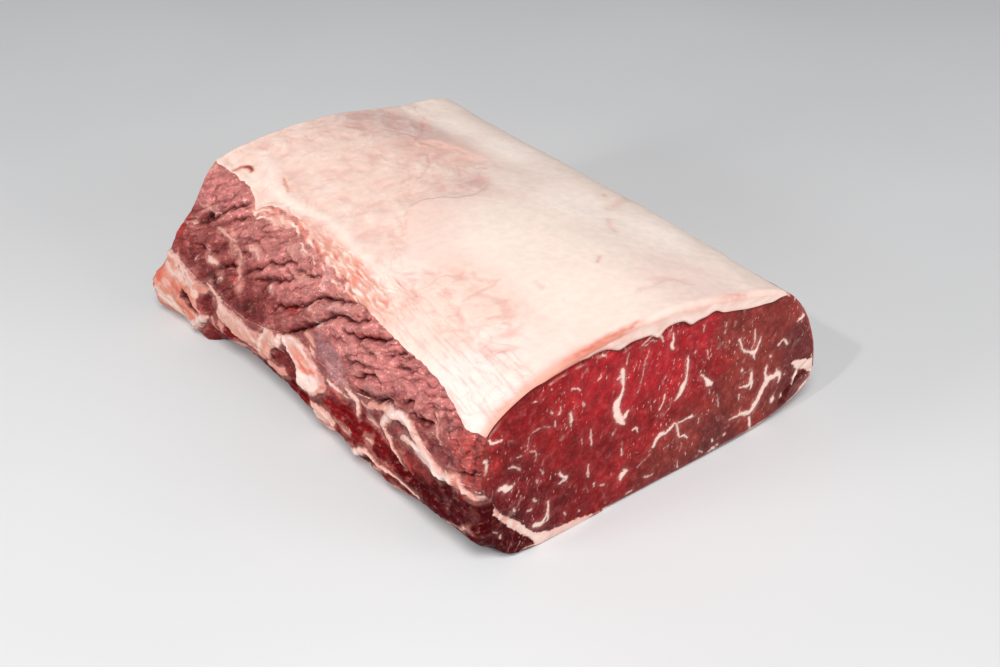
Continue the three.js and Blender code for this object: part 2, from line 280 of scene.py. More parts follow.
def outline(d, place):
    """The plain outline's points (x, z) at places along it, and the directions into the meat."""
    d, place = np.broadcast_arrays(np.asarray(d, float), np.asarray(place, float))
    t = d / LENGTH * 3
    x, z = along(CORNER_X, t).T, along(CORNER_Z, t).T
    start = np.floor(place).astype(int)
    u = (place - start)[:, None]
    row = np.arange(len(d))
    corners = [(start + k) % FULL_TURN for k in (-1, 0, 1, 2)]
    p = [pairs(x[row, corner], z[row, corner]) for corner in corners]
    gap = [np.sqrt(np.maximum(np.linalg.norm(p[k + 1] - p[k], axis=-1), 1e-6))[:, None]
           for k in range(3)]
    first = (p[1] - p[0]) / gap[0] - (p[2] - p[0]) / (gap[0] + gap[1]) + (p[2] - p[1]) / gap[1]
    second = (p[2] - p[1]) / gap[1] - (p[3] - p[1]) / (gap[1] + gap[2]) + (p[3] - p[2]) / gap[2]
    first, second = first * gap[1], second * gap[1]
    square = -3 * p[1] + 3 * p[2] - 2 * first - second
    cube = 2 * p[1] - 2 * p[2] + first + second
    point = p[1] + first * u + square * u**2 + cube * u**3
    tangent = first + 2 * square * u + 3 * cube * u**2
    tangent /= np.linalg.norm(tangent, axis=-1, keepdims=True)
    return above_floor(point), pairs(tangent[:, 1], -tangent[:, 0])


def place_at_height(d, height):
    """The places on the left side at the given heights."""
    low, high = np.full(len(d), CHAIN_SIDE), np.full(len(d), FULL_TURN + 0.9)
    for _ in range(18):
        middle = (low + high) / 2
        below = outline(d, middle)[0][:, 1] < height
        low, high = np.where(below, middle, low), np.where(below, high, middle)
    return low


# Heights of the line where the fat cap ends on the left side: (distance from the front, height).
FAT_EDGE = [
    (0, 67.3), (5, 66.3), (8, 64.8), (12, 64.2), (15, 65.5), (20, 67), (25, 68), (30, 69), (40, 69.8),
    (50, 70), (60, 69.3), (110, 69), (120, 70), (140, 70), (160, 70.5), (170, 71.5), (180, 71.3),
    (190, 71), (197, 69.6), (201, 68.2), (204, 65.5), (206.5, 66), (208, 68), (212, 69.5),
    (220, 70.7), (230, 71), (252, 71),
]
SAMPLES = np.linspace(0, LENGTH, 1009)  # one every quarter of a millimetre
# The fat's edge and the seam's two lines on the left side: the first is rounded, and all are ragged.
EDGE_HEIGHT = np.interp(SAMPLES, *np.array(FAT_EDGE).T)
EDGE_HEIGHT = np.convolve(np.pad(EDGE_HEIGHT, 6, "edge"), np.full(13, 1 / 13), "valid")
EDGE_HEIGHT += 0.5 * fractal(SAMPLES / 5, SAMPLES * 0, 3, 31) * smoothstep(SAMPLES, 0, 6)
EDGE_PLACES = place_at_height(SAMPLES, EDGE_HEIGHT) - FULL_TURN
UPPER_HEIGHT = along_roast(SEAM_UPPER, SAMPLES) + 0.5 * fractal(SAMPLES / 7, SAMPLES * 0, 3, 41)
LOWER_HEIGHT = along_roast(SEAM_LOWER, SAMPLES) + 0.5 * fractal(SAMPLES / 7, SAMPLES * 0, 3, 51)
UPPER_PLACES = place_at_height(SAMPLES, UPPER_HEIGHT)
LOWER_PLACES = place_at_height(SAMPLES, LOWER_HEIGHT)


def edge_place(d):
    return np.interp(d, SAMPLES, EDGE_PLACES)


def fat_end(d):
    """Where the fat cap ends on the right side; it wanders between the cut faces."""
    inner = smoothstep(from_cut(d), 0, 12)
    return FAT_RIGHT + 0.11 * inner * np.abs(fractal(d / 15, 0 * d, 2, 127))


def cut_inset(d, radius):
    """How far the soft edge round a cut face draws the surface in."""
    short = np.maximum(radius - from_cut(d), 0)
    return radius - np.sqrt(np.maximum(radius**2 - short**2, 0))


# --- Colours -------------------------------------------------------------------------------------

# The brightest fat, at the right of the top: partly its own whiter colour, partly painted light that lifts
# a part the lamps light less.
SNOW_FAT = colour(248, 229, 217)
BRIGHT_FAT = colour(240, 219, 206)
WHITE_FAT = colour(234, 214, 206)
PALE_FAT = colour(238, 212, 201)
CREAM_FAT = colour(234, 202, 188)
BEIGE_FAT = colour(216, 164, 146)
BLUSH_FAT = colour(230, 188, 174)
PINK_FAT = colour(214, 152, 140)
MAUVE_FAT = colour(216, 182, 172)
APRICOT_FAT = colour(212, 136, 114)
ROSE_FAT = colour(208, 140, 126)
ORANGE_FAT = colour(190, 84, 58)
FLAME_FAT = colour(214, 92, 66)
SILVERSKIN = colour(146, 100, 102)
EMBER_LEAN = colour(168, 66, 60)
ROSY_LEAN = colour(184, 110, 106)
BROWN_LEAN = colour(132, 58, 56)
CRIMSON_LEAN = colour(162, 24, 32)
BRIGHT_LEAN = colour(170, 44, 40)
RED_LEAN = colour(138, 18, 22)
DEEP_LEAN = colour(104, 8, 12)
UMBER_LEAN = colour(130, 44, 36)
DARK_LEAN = colour(62, 6, 9)
# Painted shadow: a near-black red that stands for shadow on the chain's lower front and at the lower left
# of the cut faces.
PAINTED_SHADOW_LEAN = colour(66, 5, 9)
# A dull dark lean: painted shade at the bottom and the right of the cut faces, and partly painted shade in
# a low band at the side's back.
LOW_LEAN = colour(98, 36, 34)
LILAC_LEAN = colour(206, 160, 158)
MARBLING = colour(242, 210, 197)

# --- The cut faces: marbling as strokes, in (x, height), each with its widths --------------------

FRONT_STROKES = [
    ([(-15.5, 68.5), (-14.7, 62), (-14.8, 58), (-17.5, 53), (-17, 48), (-15, 44), (-13, 41)],
     [2.5, 1.5, 1.5, 3.5, 3.5, 3.5, 1]),
    ([(-15.5, 66), (-17.8, 65.3)], 1.3),
    ([(-13, 45), (-11, 47)], [2.5, 0.8]),
    ([(20.3, 60), (20.5, 55), (20.3, 49), (19, 46), (17.5, 42.5), (15, 40.3)],
     [1, 1.2, 1.5, 3, 2, 0.8]),
    ([(8.8, 46), (8, 42), (6.5, 39.3)], [0.8, 1, 1.5]),
    ([(29, 47), (31, 45), (33, 42.5), (34, 40.5), (36, 39.5)], [0.8, 1, 2, 3, 1.6]),
    ([(34.5, 37.5), (35.3, 34.5)], 0.6),
    ([(50, 56), (51.5, 53), (52.5, 50), (55, 48), (57.5, 46.5), (60, 45.5), (62, 47.5), (63, 50),
      (63.5, 52)], [1.2, 1, 1, 1.2, 1.5, 2.5, 1.2, 1, 0.6]),
    ([(60, 45.5), (60.5, 43), (61, 41.5)], [2, 1.2, 0.5]),
    ([(58.7, 57.5), (59.5, 54), (60, 50.5)], [0.8, 1.2, 0.8]),
    ([(60, 35), (60, 31), (61, 28.5), (60.5, 26)], [1.5, 2.5, 2.5, 0.6]),
    ([(59, 28.5), (56.5, 29), (53.5, 30)], [1.8, 1.2, 0.8]),
    ([(69.5, 34.5), (69, 31), (70, 28), (71, 26)], [1, 1.5, 2, 3]),
    ([(78.5, 21.5), (79, 24.5), (77, 27), (75, 26.5), (72, 26.5), (70.5, 25), (68, 21), (66, 17.5),
      (64, 14.5), (61.5, 12.5), (58, 14), (54, 14.3), (49.5, 14.2)],
     [1, 2, 3, 2.5, 3, 3.5, 2.8, 2.5, 3, 2.5, 2, 1.2, 0.8]),
    ([(76.5, 27.5), (76.5, 29.5)], [1.5, 0.6]),
    ([(55, 15), (55, 17)], [1.2, 0.6]),
    ([(75.5, 43), (77.5, 44.5), (79.5, 43.5), (80.8, 41)], 1.4),
    ([(4.5, 21.5), (6, 24), (8.5, 26), (11, 25), (14, 27), (16, 28), (17.5, 25.5), (18.5, 21.5),
      (19.5, 19.3), (22, 18.7), (24, 16.5)], [2, 2.5, 2.5, 1.8, 1.5, 1, 0.8, 1, 1.2, 1.2, 1]),
    ([(17, 27.5), (22, 27), (26, 27)], [0.5, 0.9, 1.8]),
    ([(10.6, 75), (11, 72), (10.5, 69.5), (11.5, 67.5)], [1, 1.2, 1.8, 1]),
    ([(28, 72), (28, 69)], 0.8),
    ([(41, 68), (40.8, 63)], 0.7),
    ([(31, 58.5), (32.5, 54)], 0.7),
    ([(24.5, 61), (24, 60)], 0.9),
    ([(62.5, 9.5), (63, 5.5), (63.5, 4)], [1.8, 1.4, 0.8]),
    ([(40, 32), (41.5, 25)], 0.6),
    ([(54, 26), (54, 23)], 0.8),
    ([(53.5, 39), (53.9, 38.6)], 1.4),
    ([(71, 39), (71.4, 38.5)], 1.4),
    ([(76, 13.8), (76, 13)], 2.8),
    ([(81.5, 13.4), (81.8, 12.6)], 1.5),
    ([(39.8, 7.7), (40, 7)], 1.4),
    ([(43, 3.7), (43.4, 3.2)], 1.3),
    ([(47, 7.7), (47.2, 7)], 1.2),
    ([(32, 5.6), (34.6, 3.4)], 0.8),
    ([(37.6, 1.4), (40.4, 3), (42.6, 1.2)], [0.8, 1.5, 0.8]),
    ([(0.5, 7), (2, 6.3), (5, 6)], 0.9),
    ([(30, 24), (29.8, 21.5)], 0.9),
    ([(19.5, 5.5), (20, 2.4)], 1),
    ([(90.5, 53), (86, 51)], [2.5, 1]),
    ([(-46.5, 64.5), (-47, 61.5)], 0.9),
    ([(-41.3, 60), (-41, 56), (-40.7, 53)], [0.8, 1.5, 0.7]),
    ([(-48.8, 59), (-48.5, 56.5)], 0.8),
    ([(-50.8, 65), (-50.3, 63)], 0.8),
    ([(-62, 52), (-61.5, 57), (-59, 59), (-54, 59), (-51.5, 57.5)], 0.5),
    ([(-41, 70.5), (-38.5, 70), (-37, 68.5)], 0.9),
    ([(-59.5, 73), (-58, 72.5)], 0.9),
    ([(-28, 69.5), (-26.5, 70)], 0.8),
    ([(-26.5, 80.3), (-25, 79.3)], 1.2),
    ([(-12.5, 75.5), (-13.5, 72), (-13.7, 70.5)], [0.6, 0.9, 0.6]),
    ([(-7, 75.6), (-2, 78.2), (2, 78.4), (4.2, 76.4), (5.6, 73)], [0.5, 0.8, 1.1, 1.1, 0.5]),
    ([(-4, 75.4), (-1, 76.6), (1.6, 75)], 0.5),
    ([(-2, 72), (-3.6, 67), (-4.4, 61), (-6.4, 54)], [0.6, 0.5, 0.5, 0.4]),
    ([(-35, 62), (-34.5, 60)], 0.8),
    ([(-30.3, 46), (-30.2, 40), (-29.8, 38.5)], [0.7, 1.1, 0.6]),
    ([(-35, 43.5), (-35, 41.5)], 0.8),
    ([(-18.5, 39.5), (-18.5, 38)], 0.8),
    ([(-8, 35.5), (-6, 35.8), (-5, 33)], [0.8, 1.2, 0.7]),
    ([(-46, 32), (-44, 29.5), (-42.5, 28.5), (-42.8, 27), (-46, 27.2)], [1, 1.4, 1.8, 1.4, 0.8]),
    ([(-31, 29), (-31, 25), (-30.5, 22.5)], [0.8, 1.2, 0.7]),
    ([(-13.5, 29), (-13.2, 25)], 1),
    ([(-12, 17), (-10, 15.5), (-12.5, 14.5), (-13, 11.5)], [1, 1.5, 3, 0.8]),
    ([(-4, 14.5), (3, 18)], 0.5),
    ([(-27.5, 18), (-27.5, 16)], 0.8),
    ([(-24, 15), (-22, 14)], 0.8),
    ([(-76, 38.5), (-73.5, 39), (-72, 37), (-69, 37.5)], [1, 2.5, 3, 1]),
    ([(-68.5, 25.5), (-68, 24.5)], 1.2),
    ([(-59, 25.5), (-57.5, 24)], 1),
    ([(-61.5, 21), (-60, 20.5)], 1.1),
    ([(-51, 20.5), (-51.2, 15), (-51.5, 11.5), (-53.5, 10.5)], [0.8, 1.1, 1.2, 0.8]),
    ([(-58, 11.5), (-54.5, 10.5)], 2),
    ([(-43, 10.5), (-42.5, 9)], 0.9),
    ([(-35, 7.3), (-34.8, 6.8)], 1),
    ([(-9, 3), (-6, 2.7)], 0.9),
    ([(-57.5, 34.5), (-57, 33)], 0.8),
    ([(-71, 47), (-68.5, 46.5), (-66, 44), (-65, 43.3)], [0.8, 1, 0.8, 0.5]),
    ([(-67, 50), (-65, 50)], 0.7),
    ([(-61, 50), (-58, 48.5), (-58, 44)], 0.6),
    ([(-55.5, 38.5), (-54, 36)], 0.7),
    ([(-80, 64.6), (-79.2, 63), (-77.5, 62.3), (-74.5, 62)], [1, 1.8, 1.6, 0.8]),
    ([(-84.6, 58.3), (-83, 56), (-81.7, 55.5), (-81.3, 53), (-82, 49.5)], [0.8, 1.4, 1.4, 1.2, 0.6]),
]
# Lines on the front cut face.
MUSCLE_LINE = [(20, 62), (27, 53), (31, 46), (38, 38), (42, 30), (45, 20), (50, 15)]
FAT_STREAK_LEFT = [(-50, 82.6), (-40, 84.8), (-30, 86.2), (-20, 86.9), (-12, 87.2), (-4, 87.4)]
FAT_STREAK_RIGHT = [(10, 86), (25, 84), (35, 82.6), (42, 80.2), (48, 77.6), (55, 75.8)]

# The lean's colours on the front cut face, each with its x and height. Towards the bottom and the
# right they darken: partly the lean's own browner colour, partly painted shade where the light falls
# off. The dark anchors at the lower left are painted shadow.
FRONT_LEAN = [
    (-80, 60, RED_LEAN), (-60, 65, RED_LEAN), (-70, 40, DEEP_LEAN), (-45, 50, RED_LEAN),
    (-30, 70, CRIMSON_LEAN), (-50, 20, DEEP_LEAN), (-10, 60, CRIMSON_LEAN), (10, 60, CRIMSON_LEAN),
    (-20, 25, RED_LEAN), (0, 35, RED_LEAN), (25, 66, CRIMSON_LEAN), (45, 62, UMBER_LEAN),
    (35, 48, RED_LEAN), (50, 35, UMBER_LEAN), (70, 55, UMBER_LEAN), (75, 35, UMBER_LEAN),
    (60, 12, UMBER_LEAN), (20, 12, UMBER_LEAN), (90, 45, LOW_LEAN), (88, 16, LOW_LEAN),
    (40, 5, LOW_LEAN), (20, 2, LOW_LEAN), (82, 60, UMBER_LEAN), (84, 34, LOW_LEAN),
    (-85, 22, DARK_LEAN), (-72, 8, PAINTED_SHADOW_LEAN),
]
# Fat on the cut face where the muscles meet: the band between the eye and the chain, and the tail.
SEAM_BAND = [
    (-92, 48), (-86, 42), (-81.8, 37), (-77.4, 30.9), (-74, 25.4), (-68.5, 20.3), (-64, 15.5),
    (-61.6, 11.8), (-57.5, 7.2), (-53.4, 6.1), (-47.4, 4.3), (-42.6, 3.6), (-37, 3.5), (-30, 1.8),
    (-22, 0.2),
    (-24, -2), (-40, -2.5), (-54.5, -1), (-60.4, 6), (-66.2, 12.2), (-70.8, 17.6), (-75.2, 23.4),
    (-79.6, 28.8), (-86, 34.6), (-92, 40),
]
TAIL_TOP = [
    (85.7, 28.9), (88.9, 29.2), (98.1, 26.2), (98.9, 28.6), (103, 26), (103, 17), (100.5, 16.9),
    (97.4, 20.1), (92.7, 22.6), (90.9, 23.2), (88.6, 25.6),
]
SEAM_STROKES = [
    ([(-57.6, 11.2), (-55, 10.6), (-53.5, 11.7), (-51.8, 14.2), (-51.3, 20)], [1.6, 2.2, 1.4, 1, 0.7]),
    ([(-96, 33), (-92.2, 29.3), (-87, 25), (-82.5, 21.8), (-79, 19.3), (-76.4, 17.6)],
     [1, 1, 0.8, 0.8, 0.7, 0.5]),
    ([(-82.5, 13.6), (-78.6, 12.3), (-75.6, 13), (-74.8, 15.5)], [1.4, 1.4, 1.1, 0.7]),
    ([(-86.5, 27.4), (-85, 28), (-83, 26.6)], 1),
    ([(-64.9, 1.6), (-60.9, 1.9), (-57, 0.8)], 0.8),
]
TAIL_STROKES = [
    ([(90.9, 24), (89.6, 21.7), (88.2, 19.2), (88.4, 16)], [2, 1.8, 1.2, 0.5]),
    ([(101.5, 15.5), (99.5, 13.4), (95.8, 12.3), (94.3, 10.5), (93.6, 8)], [3.6, 3.8, 2.4, 2.2, 1.4]),
    ([(83.4, 5.6), (86, 4.6), (89, 3)], [1, 2.6, 1.8]),
    ([(82, 3), (85, 2.8)], 1.6),
    ([(81.8, 14), (81.2, 12)], 1.1),
]
TAIL_DARK = [(97.6, 18.4), (92.8, 19.4), (88, 15.8), (81.8, 11)]
BACK_SEAM_BAND = [
    (-104, 36), (-92, 31), (-84, 25), (-76, 17), (-66, 9), (-56, 4), (-46, 0), (-66, -2), (-74, 5),
    (-82, 12), (-88, 20), (-94, 25), (-104, 27),
]
BACK_TAIL = [(97, 28), (90, 24), (86, 16), (86, 8), (89, -1)]
# Waves of the fat's underside at the front cut: (x, half width, height).
SCALLOPS = [(-18.4, 4.5, 2.4), (2.7, 3, 2.9), (22, 3.5, 2.2), (35, 4, -2.2), (-34, 2, 0.5), (70, 3, 0.6)]


def seeded_strokes(count, seed):
    """Marbling for the back cut face: short wandering strokes, some of them forked."""
    rng = np.random.default_rng(seed)
    strokes = []
    for _ in range(count):
        point = np.array([rng.uniform(-82, 88), rng.uniform(4, 68)])
        heading = rng.normal(-math.pi / 2, 0.7)
        width = rng.choice([0.8, 1.0, 1.4, 2.4], p=[0.35, 0.3, 0.2, 0.15])
        points = [point]
        for _ in range(int(rng.integers(2, 5 if width < 1.2 else 8))):
            heading += rng.normal(0, 0.45)
            step = rng.uniform(1.6, 3.6)
            points.append(points[-1] + step * np.array([math.cos(heading), math.sin(heading)]))
        profile = np.sin(np.linspace(0.35, 2.8, len(points))) * rng.uniform(0.7, 1.3, len(points))
        strokes.append((points, np.maximum(width * profile, 0.4)))
        if width > 1.2:
            side = heading + rng.choice([-1.2, 1.2])
            fork = points[len(points) // 2]
            tip = fork + 4 * np.array([math.cos(side), math.sin(side)])
            strokes.append(([fork, (fork + tip) / 2 + rng.normal(0, 0.4, 2), tip], [width, 0.9, 0.5]))
    return strokes


BACK_STROKES = seeded_strokes(78, 5)


def fat_thickness(d, place):
    """How thick the fat cap is, from its thin left edge to its right one."""
    t = place / FAT_RIGHT * (len(FAT_FRONT) - 1)
    plain = lerp(along(FAT_FRONT, t), along(FAT_BACK, t), d / LENGTH)
    x = outline(d, place)[0][:, 0]
    wave = sum(height * bell(x - middle, width) for middle, width, height in SCALLOPS)
    wave = (wave - 0.5 * smoothstep(-x, 55, 60)) * np.exp(-d / 10)
    swell = 0.5 * fractal(x / 9, d / 14, 2, 61) * smoothstep(d, 2, 14)
    full = np.maximum(plain + wave + swell, 0.9)
    return np.minimum(full, 0.35 + 13 * np.maximum(place - edge_place(d), 0))


# --- The look of a surface: its relief and what its material shows -------------------------------


class Look:
    """What the material reads at each point: two colours, how deep in fat it is, and shading."""

    def __init__(self, count, lean=RED_LEAN, tallow=CREAM_FAT, fat=-3.0):
        self.lean = np.tile(np.asarray(lean, float), (count, 1))
        self.tallow = np.tile(np.asarray(tallow, float), (count, 1))
        self.fat = np.full(count, fat)
        self.shade = np.zeros(count)
        self.cut = np.zeros(count)
        self.wet = np.zeros(count)
        self.vein = np.zeros(count)
        self.relief = np.zeros(count)

    def tint_lean(self, tint, weight):
        self.lean = mixed(self.lean, tint, weight)

    def tint_fat(self, tint, weight):
        self.tallow = mixed(self.tallow, tint, weight)

    def add_fat(self, depth, tint, rise=0.0):
        """Lays a stroke or patch of fat over what is there. depth is how deep each point lies in it."""
        self.tint_fat(tint, smoothstep(depth, -1.2, -0.1))
        self.fat = np.maximum(self.fat, depth)
        self.relief -= rise * (0.6 * smoothstep(depth, -0.6, 0.7) + 0.5 * smoothstep(depth, 0, 2.6))
        # Painted shade in a thin line just outside a raised stroke or patch.
        beside = bell(depth + 0.8, 0.6)
        self.shade = np.maximum(self.shade, min(0.7 * rise, 0.7) * beside)

    def add_hollow(self, depth, tint, sink):
        """Cuts the fat away to lean, sinks the surface and paints shade into the hollow."""
        inside = smoothstep(depth, -0.8, 0.8)
        self.fat = np.minimum(self.fat, -depth)
        self.tint_lean(tint, inside)
        self.relief += sink * smoothstep(depth, -0.6, 1.8)
        # Painted shade inside the hollow.
        self.shade = np.maximum(self.shade, 0.5 * inside)

    def put(self, where, other):
        """Takes over another look at the points that an index names."""
        for key, value in vars(other).items():
            getattr(self, key)[where] = value


def face_look(x, z, strokes, anchors):
    """The look of the lean on a cut face."""
    look = Look(len(x), tallow=MARBLING)
    at = pairs(x, z)
    ragged = at + 0.35 * drift(x / 2.2, z / 2.2, (71, 72))
    look.lean = spread(at, anchors, (1, 1)) * (1 + 0.26 * fractal(x / 9, z / 10, 4, 73))[:, None]
    blotches = fractal(x / 3.4, z / 3.8, 3, 85)
    look.lean = look.lean * (1 + 0.24 * blotches)[:, None]
    look.tint_lean(ROSY_LEAN, 0.16 * smoothstep(blotches, 0.1, 0.9))
    for points, widths in strokes:
        add_marbling(look, stroke_depth(ragged, points, np.asarray(widths) + 0.1, 3.0), np.max(widths))
    look.relief = 0.22 * fractal(x / 6, z / 6, 3, 74) + 0.14 * noise(x / 2.5, z / 2.5, 75)
    look.relief -= 0.22 * smoothstep(look.fat, -0.5, 0.6)
    look.cut[:] = 1
    return look


def add_marbling(look, depth, width):
    """One stroke of marbling, paler the wider it is, with a rosy halo round it."""
    over = (depth > look.fat) & (depth > -1.0)
    strength = min(0.45 + 0.3 * width, 1.0) * lerp(0.6, 1.0, smoothstep(depth, -0.3, 0.8))
    look.tallow[over] = mixed(look.lean, MARBLING, strength)[over]
    halo = max(0.14 * width, 0.15) * decay(-depth, 0.9) * (depth > -3)
    look.tint_lean(ROSY_LEAN, np.minimum(halo, 0.5))
    look.fat = np.maximum(look.fat, depth)


def line_shade(at, points, width, reach=4.0):
    """How close points are to a line, from 0 to 1, for a half width that may vary between points."""
    line = smooth_route(np.column_stack([points, np.zeros(len(points))]), 3)
    near, distance, _ = nearest_on(at, line, reach)
    shade = np.zeros(len(at))
    shade[near] = bell(distance, np.broadcast_to(width, len(at))[near])
    return shade


FACE_EDGES = [(patch + patch[:1], 0.2) for patch in (SEAM_BAND, TAIL_TOP)]


def front_look(x, z):
    """The look of the front cut face."""
    look = face_look(x, z, FRONT_STROKES + SEAM_STROKES + TAIL_STROKES, FRONT_LEAN)
    at = pairs(x, z)
    ragged = at + 0.5 * drift(x / 3, z / 3, (76, 77), 2)
    add_front_fat(look, x, z, ragged)
    dark = bell(stroke_depth(ragged, TAIL_DARK, 0.1, 8.0), 1.5) * (look.fat < 0)
    look.tint_lean(DARK_LEAN, 0.65 * dark)
    look.relief += 0.8 * dark
    look.shade = 0.45 * line_shade(at, MUSCLE_LINE, 0.8)
    look.relief += 0.25 * line_shade(at, MUSCLE_LINE, 1.2)
    add_line_under_fat(look, at)
    corner = bell(x + 86, 7, z - 52, 9)
    look.tint_lean(ORANGE_FAT, 0.25 * corner)
    look.relief += 0.6 * corner * fractal(x / 4, z / 4, 2, 79)
    fold = bell(x + 76, 7, z - 57 + 2 * noise(x / 5, z / 5, 115), 2.4)
    look.tint_lean(DARK_LEAN, 0.5 * fold)
    return look


def add_front_fat(look, x, z, ragged):
    """The fat between the eye muscle and the chain, and the fat above the tail."""
    band, tail_top = patch_depth(ragged, SEAM_BAND), patch_depth(ragged, TAIL_TOP)
    streaky = smoothstep(fractal((x + z) / 7, (x - z) / 1.6, 3, 78), -0.5, 0.6)
    thin = 1 - smoothstep(band, 0.2, 1.8)
    tint = mixed(PALE_FAT, BLUSH_FAT, 0.7 * np.maximum(streaky, thin))
    fiery = smoothstep(-x, 62, 72) * smoothstep(fractal(x / 3, z / 3, 2, 80), -0.3, 0.5)
    tint = mixed(tint, FLAME_FAT, 0.55 * fiery)
    low = smoothstep(-z, -9, -1) * smoothstep(x, -60, -45)
    tint = mixed(tint, PINK_FAT, 0.45 * low)
    look.tint_fat(tint, smoothstep(band, -1, 0))
    look.tint_fat(CREAM_FAT, smoothstep(tail_top, -1, 0))
    look.fat = np.maximum(look.fat, np.maximum(band, tail_top))
    look.relief -= 0.3 * smoothstep(np.maximum(band, tail_top), -0.4, 0.8)


def add_line_under_fat(look, at):
    """The painted shade of a dark line along the fat cap's underside, and a pale thread below it."""
    x, z = at.T
    line = fat_bottom(np.zeros(160), np.linspace(edge_place(0.0), FAT_RIGHT, 160), 0.0)
    # Painted shade along the fat's underside.
    dark = line_shade(at, line, lerp(0.8, 1.6, np.clip(noise(x / 6, z / 6, 111) + 0.4, 0, 1)))
    look.shade = np.maximum(look.shade, dark * lerp(0.6, 1.0, smoothstep(45 - x, 0, 12)))
    thread = line_shade(at + np.array([0, 2.6]), line, 0.5)
    thread *= smoothstep(noise(x / 5, z / 5, 112), -0.1, 0.4)
    look.tint_lean(PINK_FAT, 0.8 * thread * smoothstep(-x, 5, 20))


def back_look(x, z):
    # The front's anchors, with their painted shade and shadow, a little smaller.
    look = face_look(x, z, BACK_STROKES, [(x0 * 0.96, z0 * 0.92, c) for x0, z0, c in FRONT_LEAN])
    ragged = pairs(x, z) + drift(x / 4, z / 4, (76, 77))
    band = patch_depth(ragged, BACK_SEAM_BAND)
    tail = stroke_depth(ragged, BACK_TAIL, 3.0)
    look.tint_fat(CREAM_FAT, smoothstep(np.maximum(band, tail), -1, 0))
    look.fat = np.maximum(look.fat, np.maximum(band, tail))
    return look


def back_fat_look(x, z):
    """The look of the fat cap on a cut face, as plain as at the back."""
    look = Look(len(x), tallow=PALE_FAT, fat=3.0)
    look.relief = 0.2 * fractal(x / 7, z / 3, 3, 81)
    look.tallow = look.tallow * (1 + 0.04 * fractal(x / 12, z / 3, 3, 82))[:, None]
    look.tint_fat(BLUSH_FAT, 0.6 * smoothstep(fractal(x / 10, z / 4, 2, 83), -0.3, 0.6))
    return look


def front_fat_look(x, z):
    """The look of the fat cap on the front cut face, with its streaks and its orange underside."""
    look = back_fat_look(x, z)
    at = pairs(x, z) + 0.4 * noise(x / 3, z / 3, 84)[:, None]
    left = line_shade(at, FAT_STREAK_LEFT, 1.1) * smoothstep(-x, 8, 20)
    right = line_shade(at, FAT_STREAK_RIGHT, 0.9) * smoothstep(x, 8, 34)
    streak = np.maximum(left, 0.8 * right)
    above = fat_depth_at(x, z)
    look.tint_fat(APRICOT_FAT, 0.34 * smoothstep(above, 1.5, 7.0))
    bright = bell(above - 1.2, 1.0) * smoothstep(x, -10, 5)
    look.tint_fat(BRIGHT_FAT, 0.5 * bright)
    leftward = smoothstep(-x, 12, 40)
    lean_side = decay(above, lerp(1.1, 2.8, leftward))
    look.tint_fat(APRICOT_FAT, lean_side * lerp(0.3, 0.85, leftward))
    look.tint_fat(FLAME_FAT, 0.85 * streak * (0.75 + 0.35 * noise(x / 3, z / 1.5, 110)))
    look.relief += 0.3 * streak
    # Painted shade: a dark line along the fat's lower edge, which meets the one painted on the lean below.
    line = bell(above, 0.35) * smoothstep(40 - x, 0, 12)
    look.tint_fat(DEEP_LEAN, 0.6 * line)
    return look


def fat_bottom(d, place, deeper):
    """Points on the fat cap's underside, or as much deeper as is said."""
    point, inward = outline(d, place)
    return point + inward * (fat_thickness(d, place) + deeper)[:, None]


FRONT_BOUNDARY = fat_bottom(np.zeros(200), np.linspace(float(edge_place(0.0)), FAT_RIGHT, 200), 0.0)


def fat_depth_at(x, z):
    """How far points of the front cut face lie above the fat cap's underside."""
    return z - np.interp(x, FRONT_BOUNDARY[:, 0], FRONT_BOUNDARY[:, 1])


# --- The left side: creased lean, seam fat and chain, in (distance from the front, height) -------

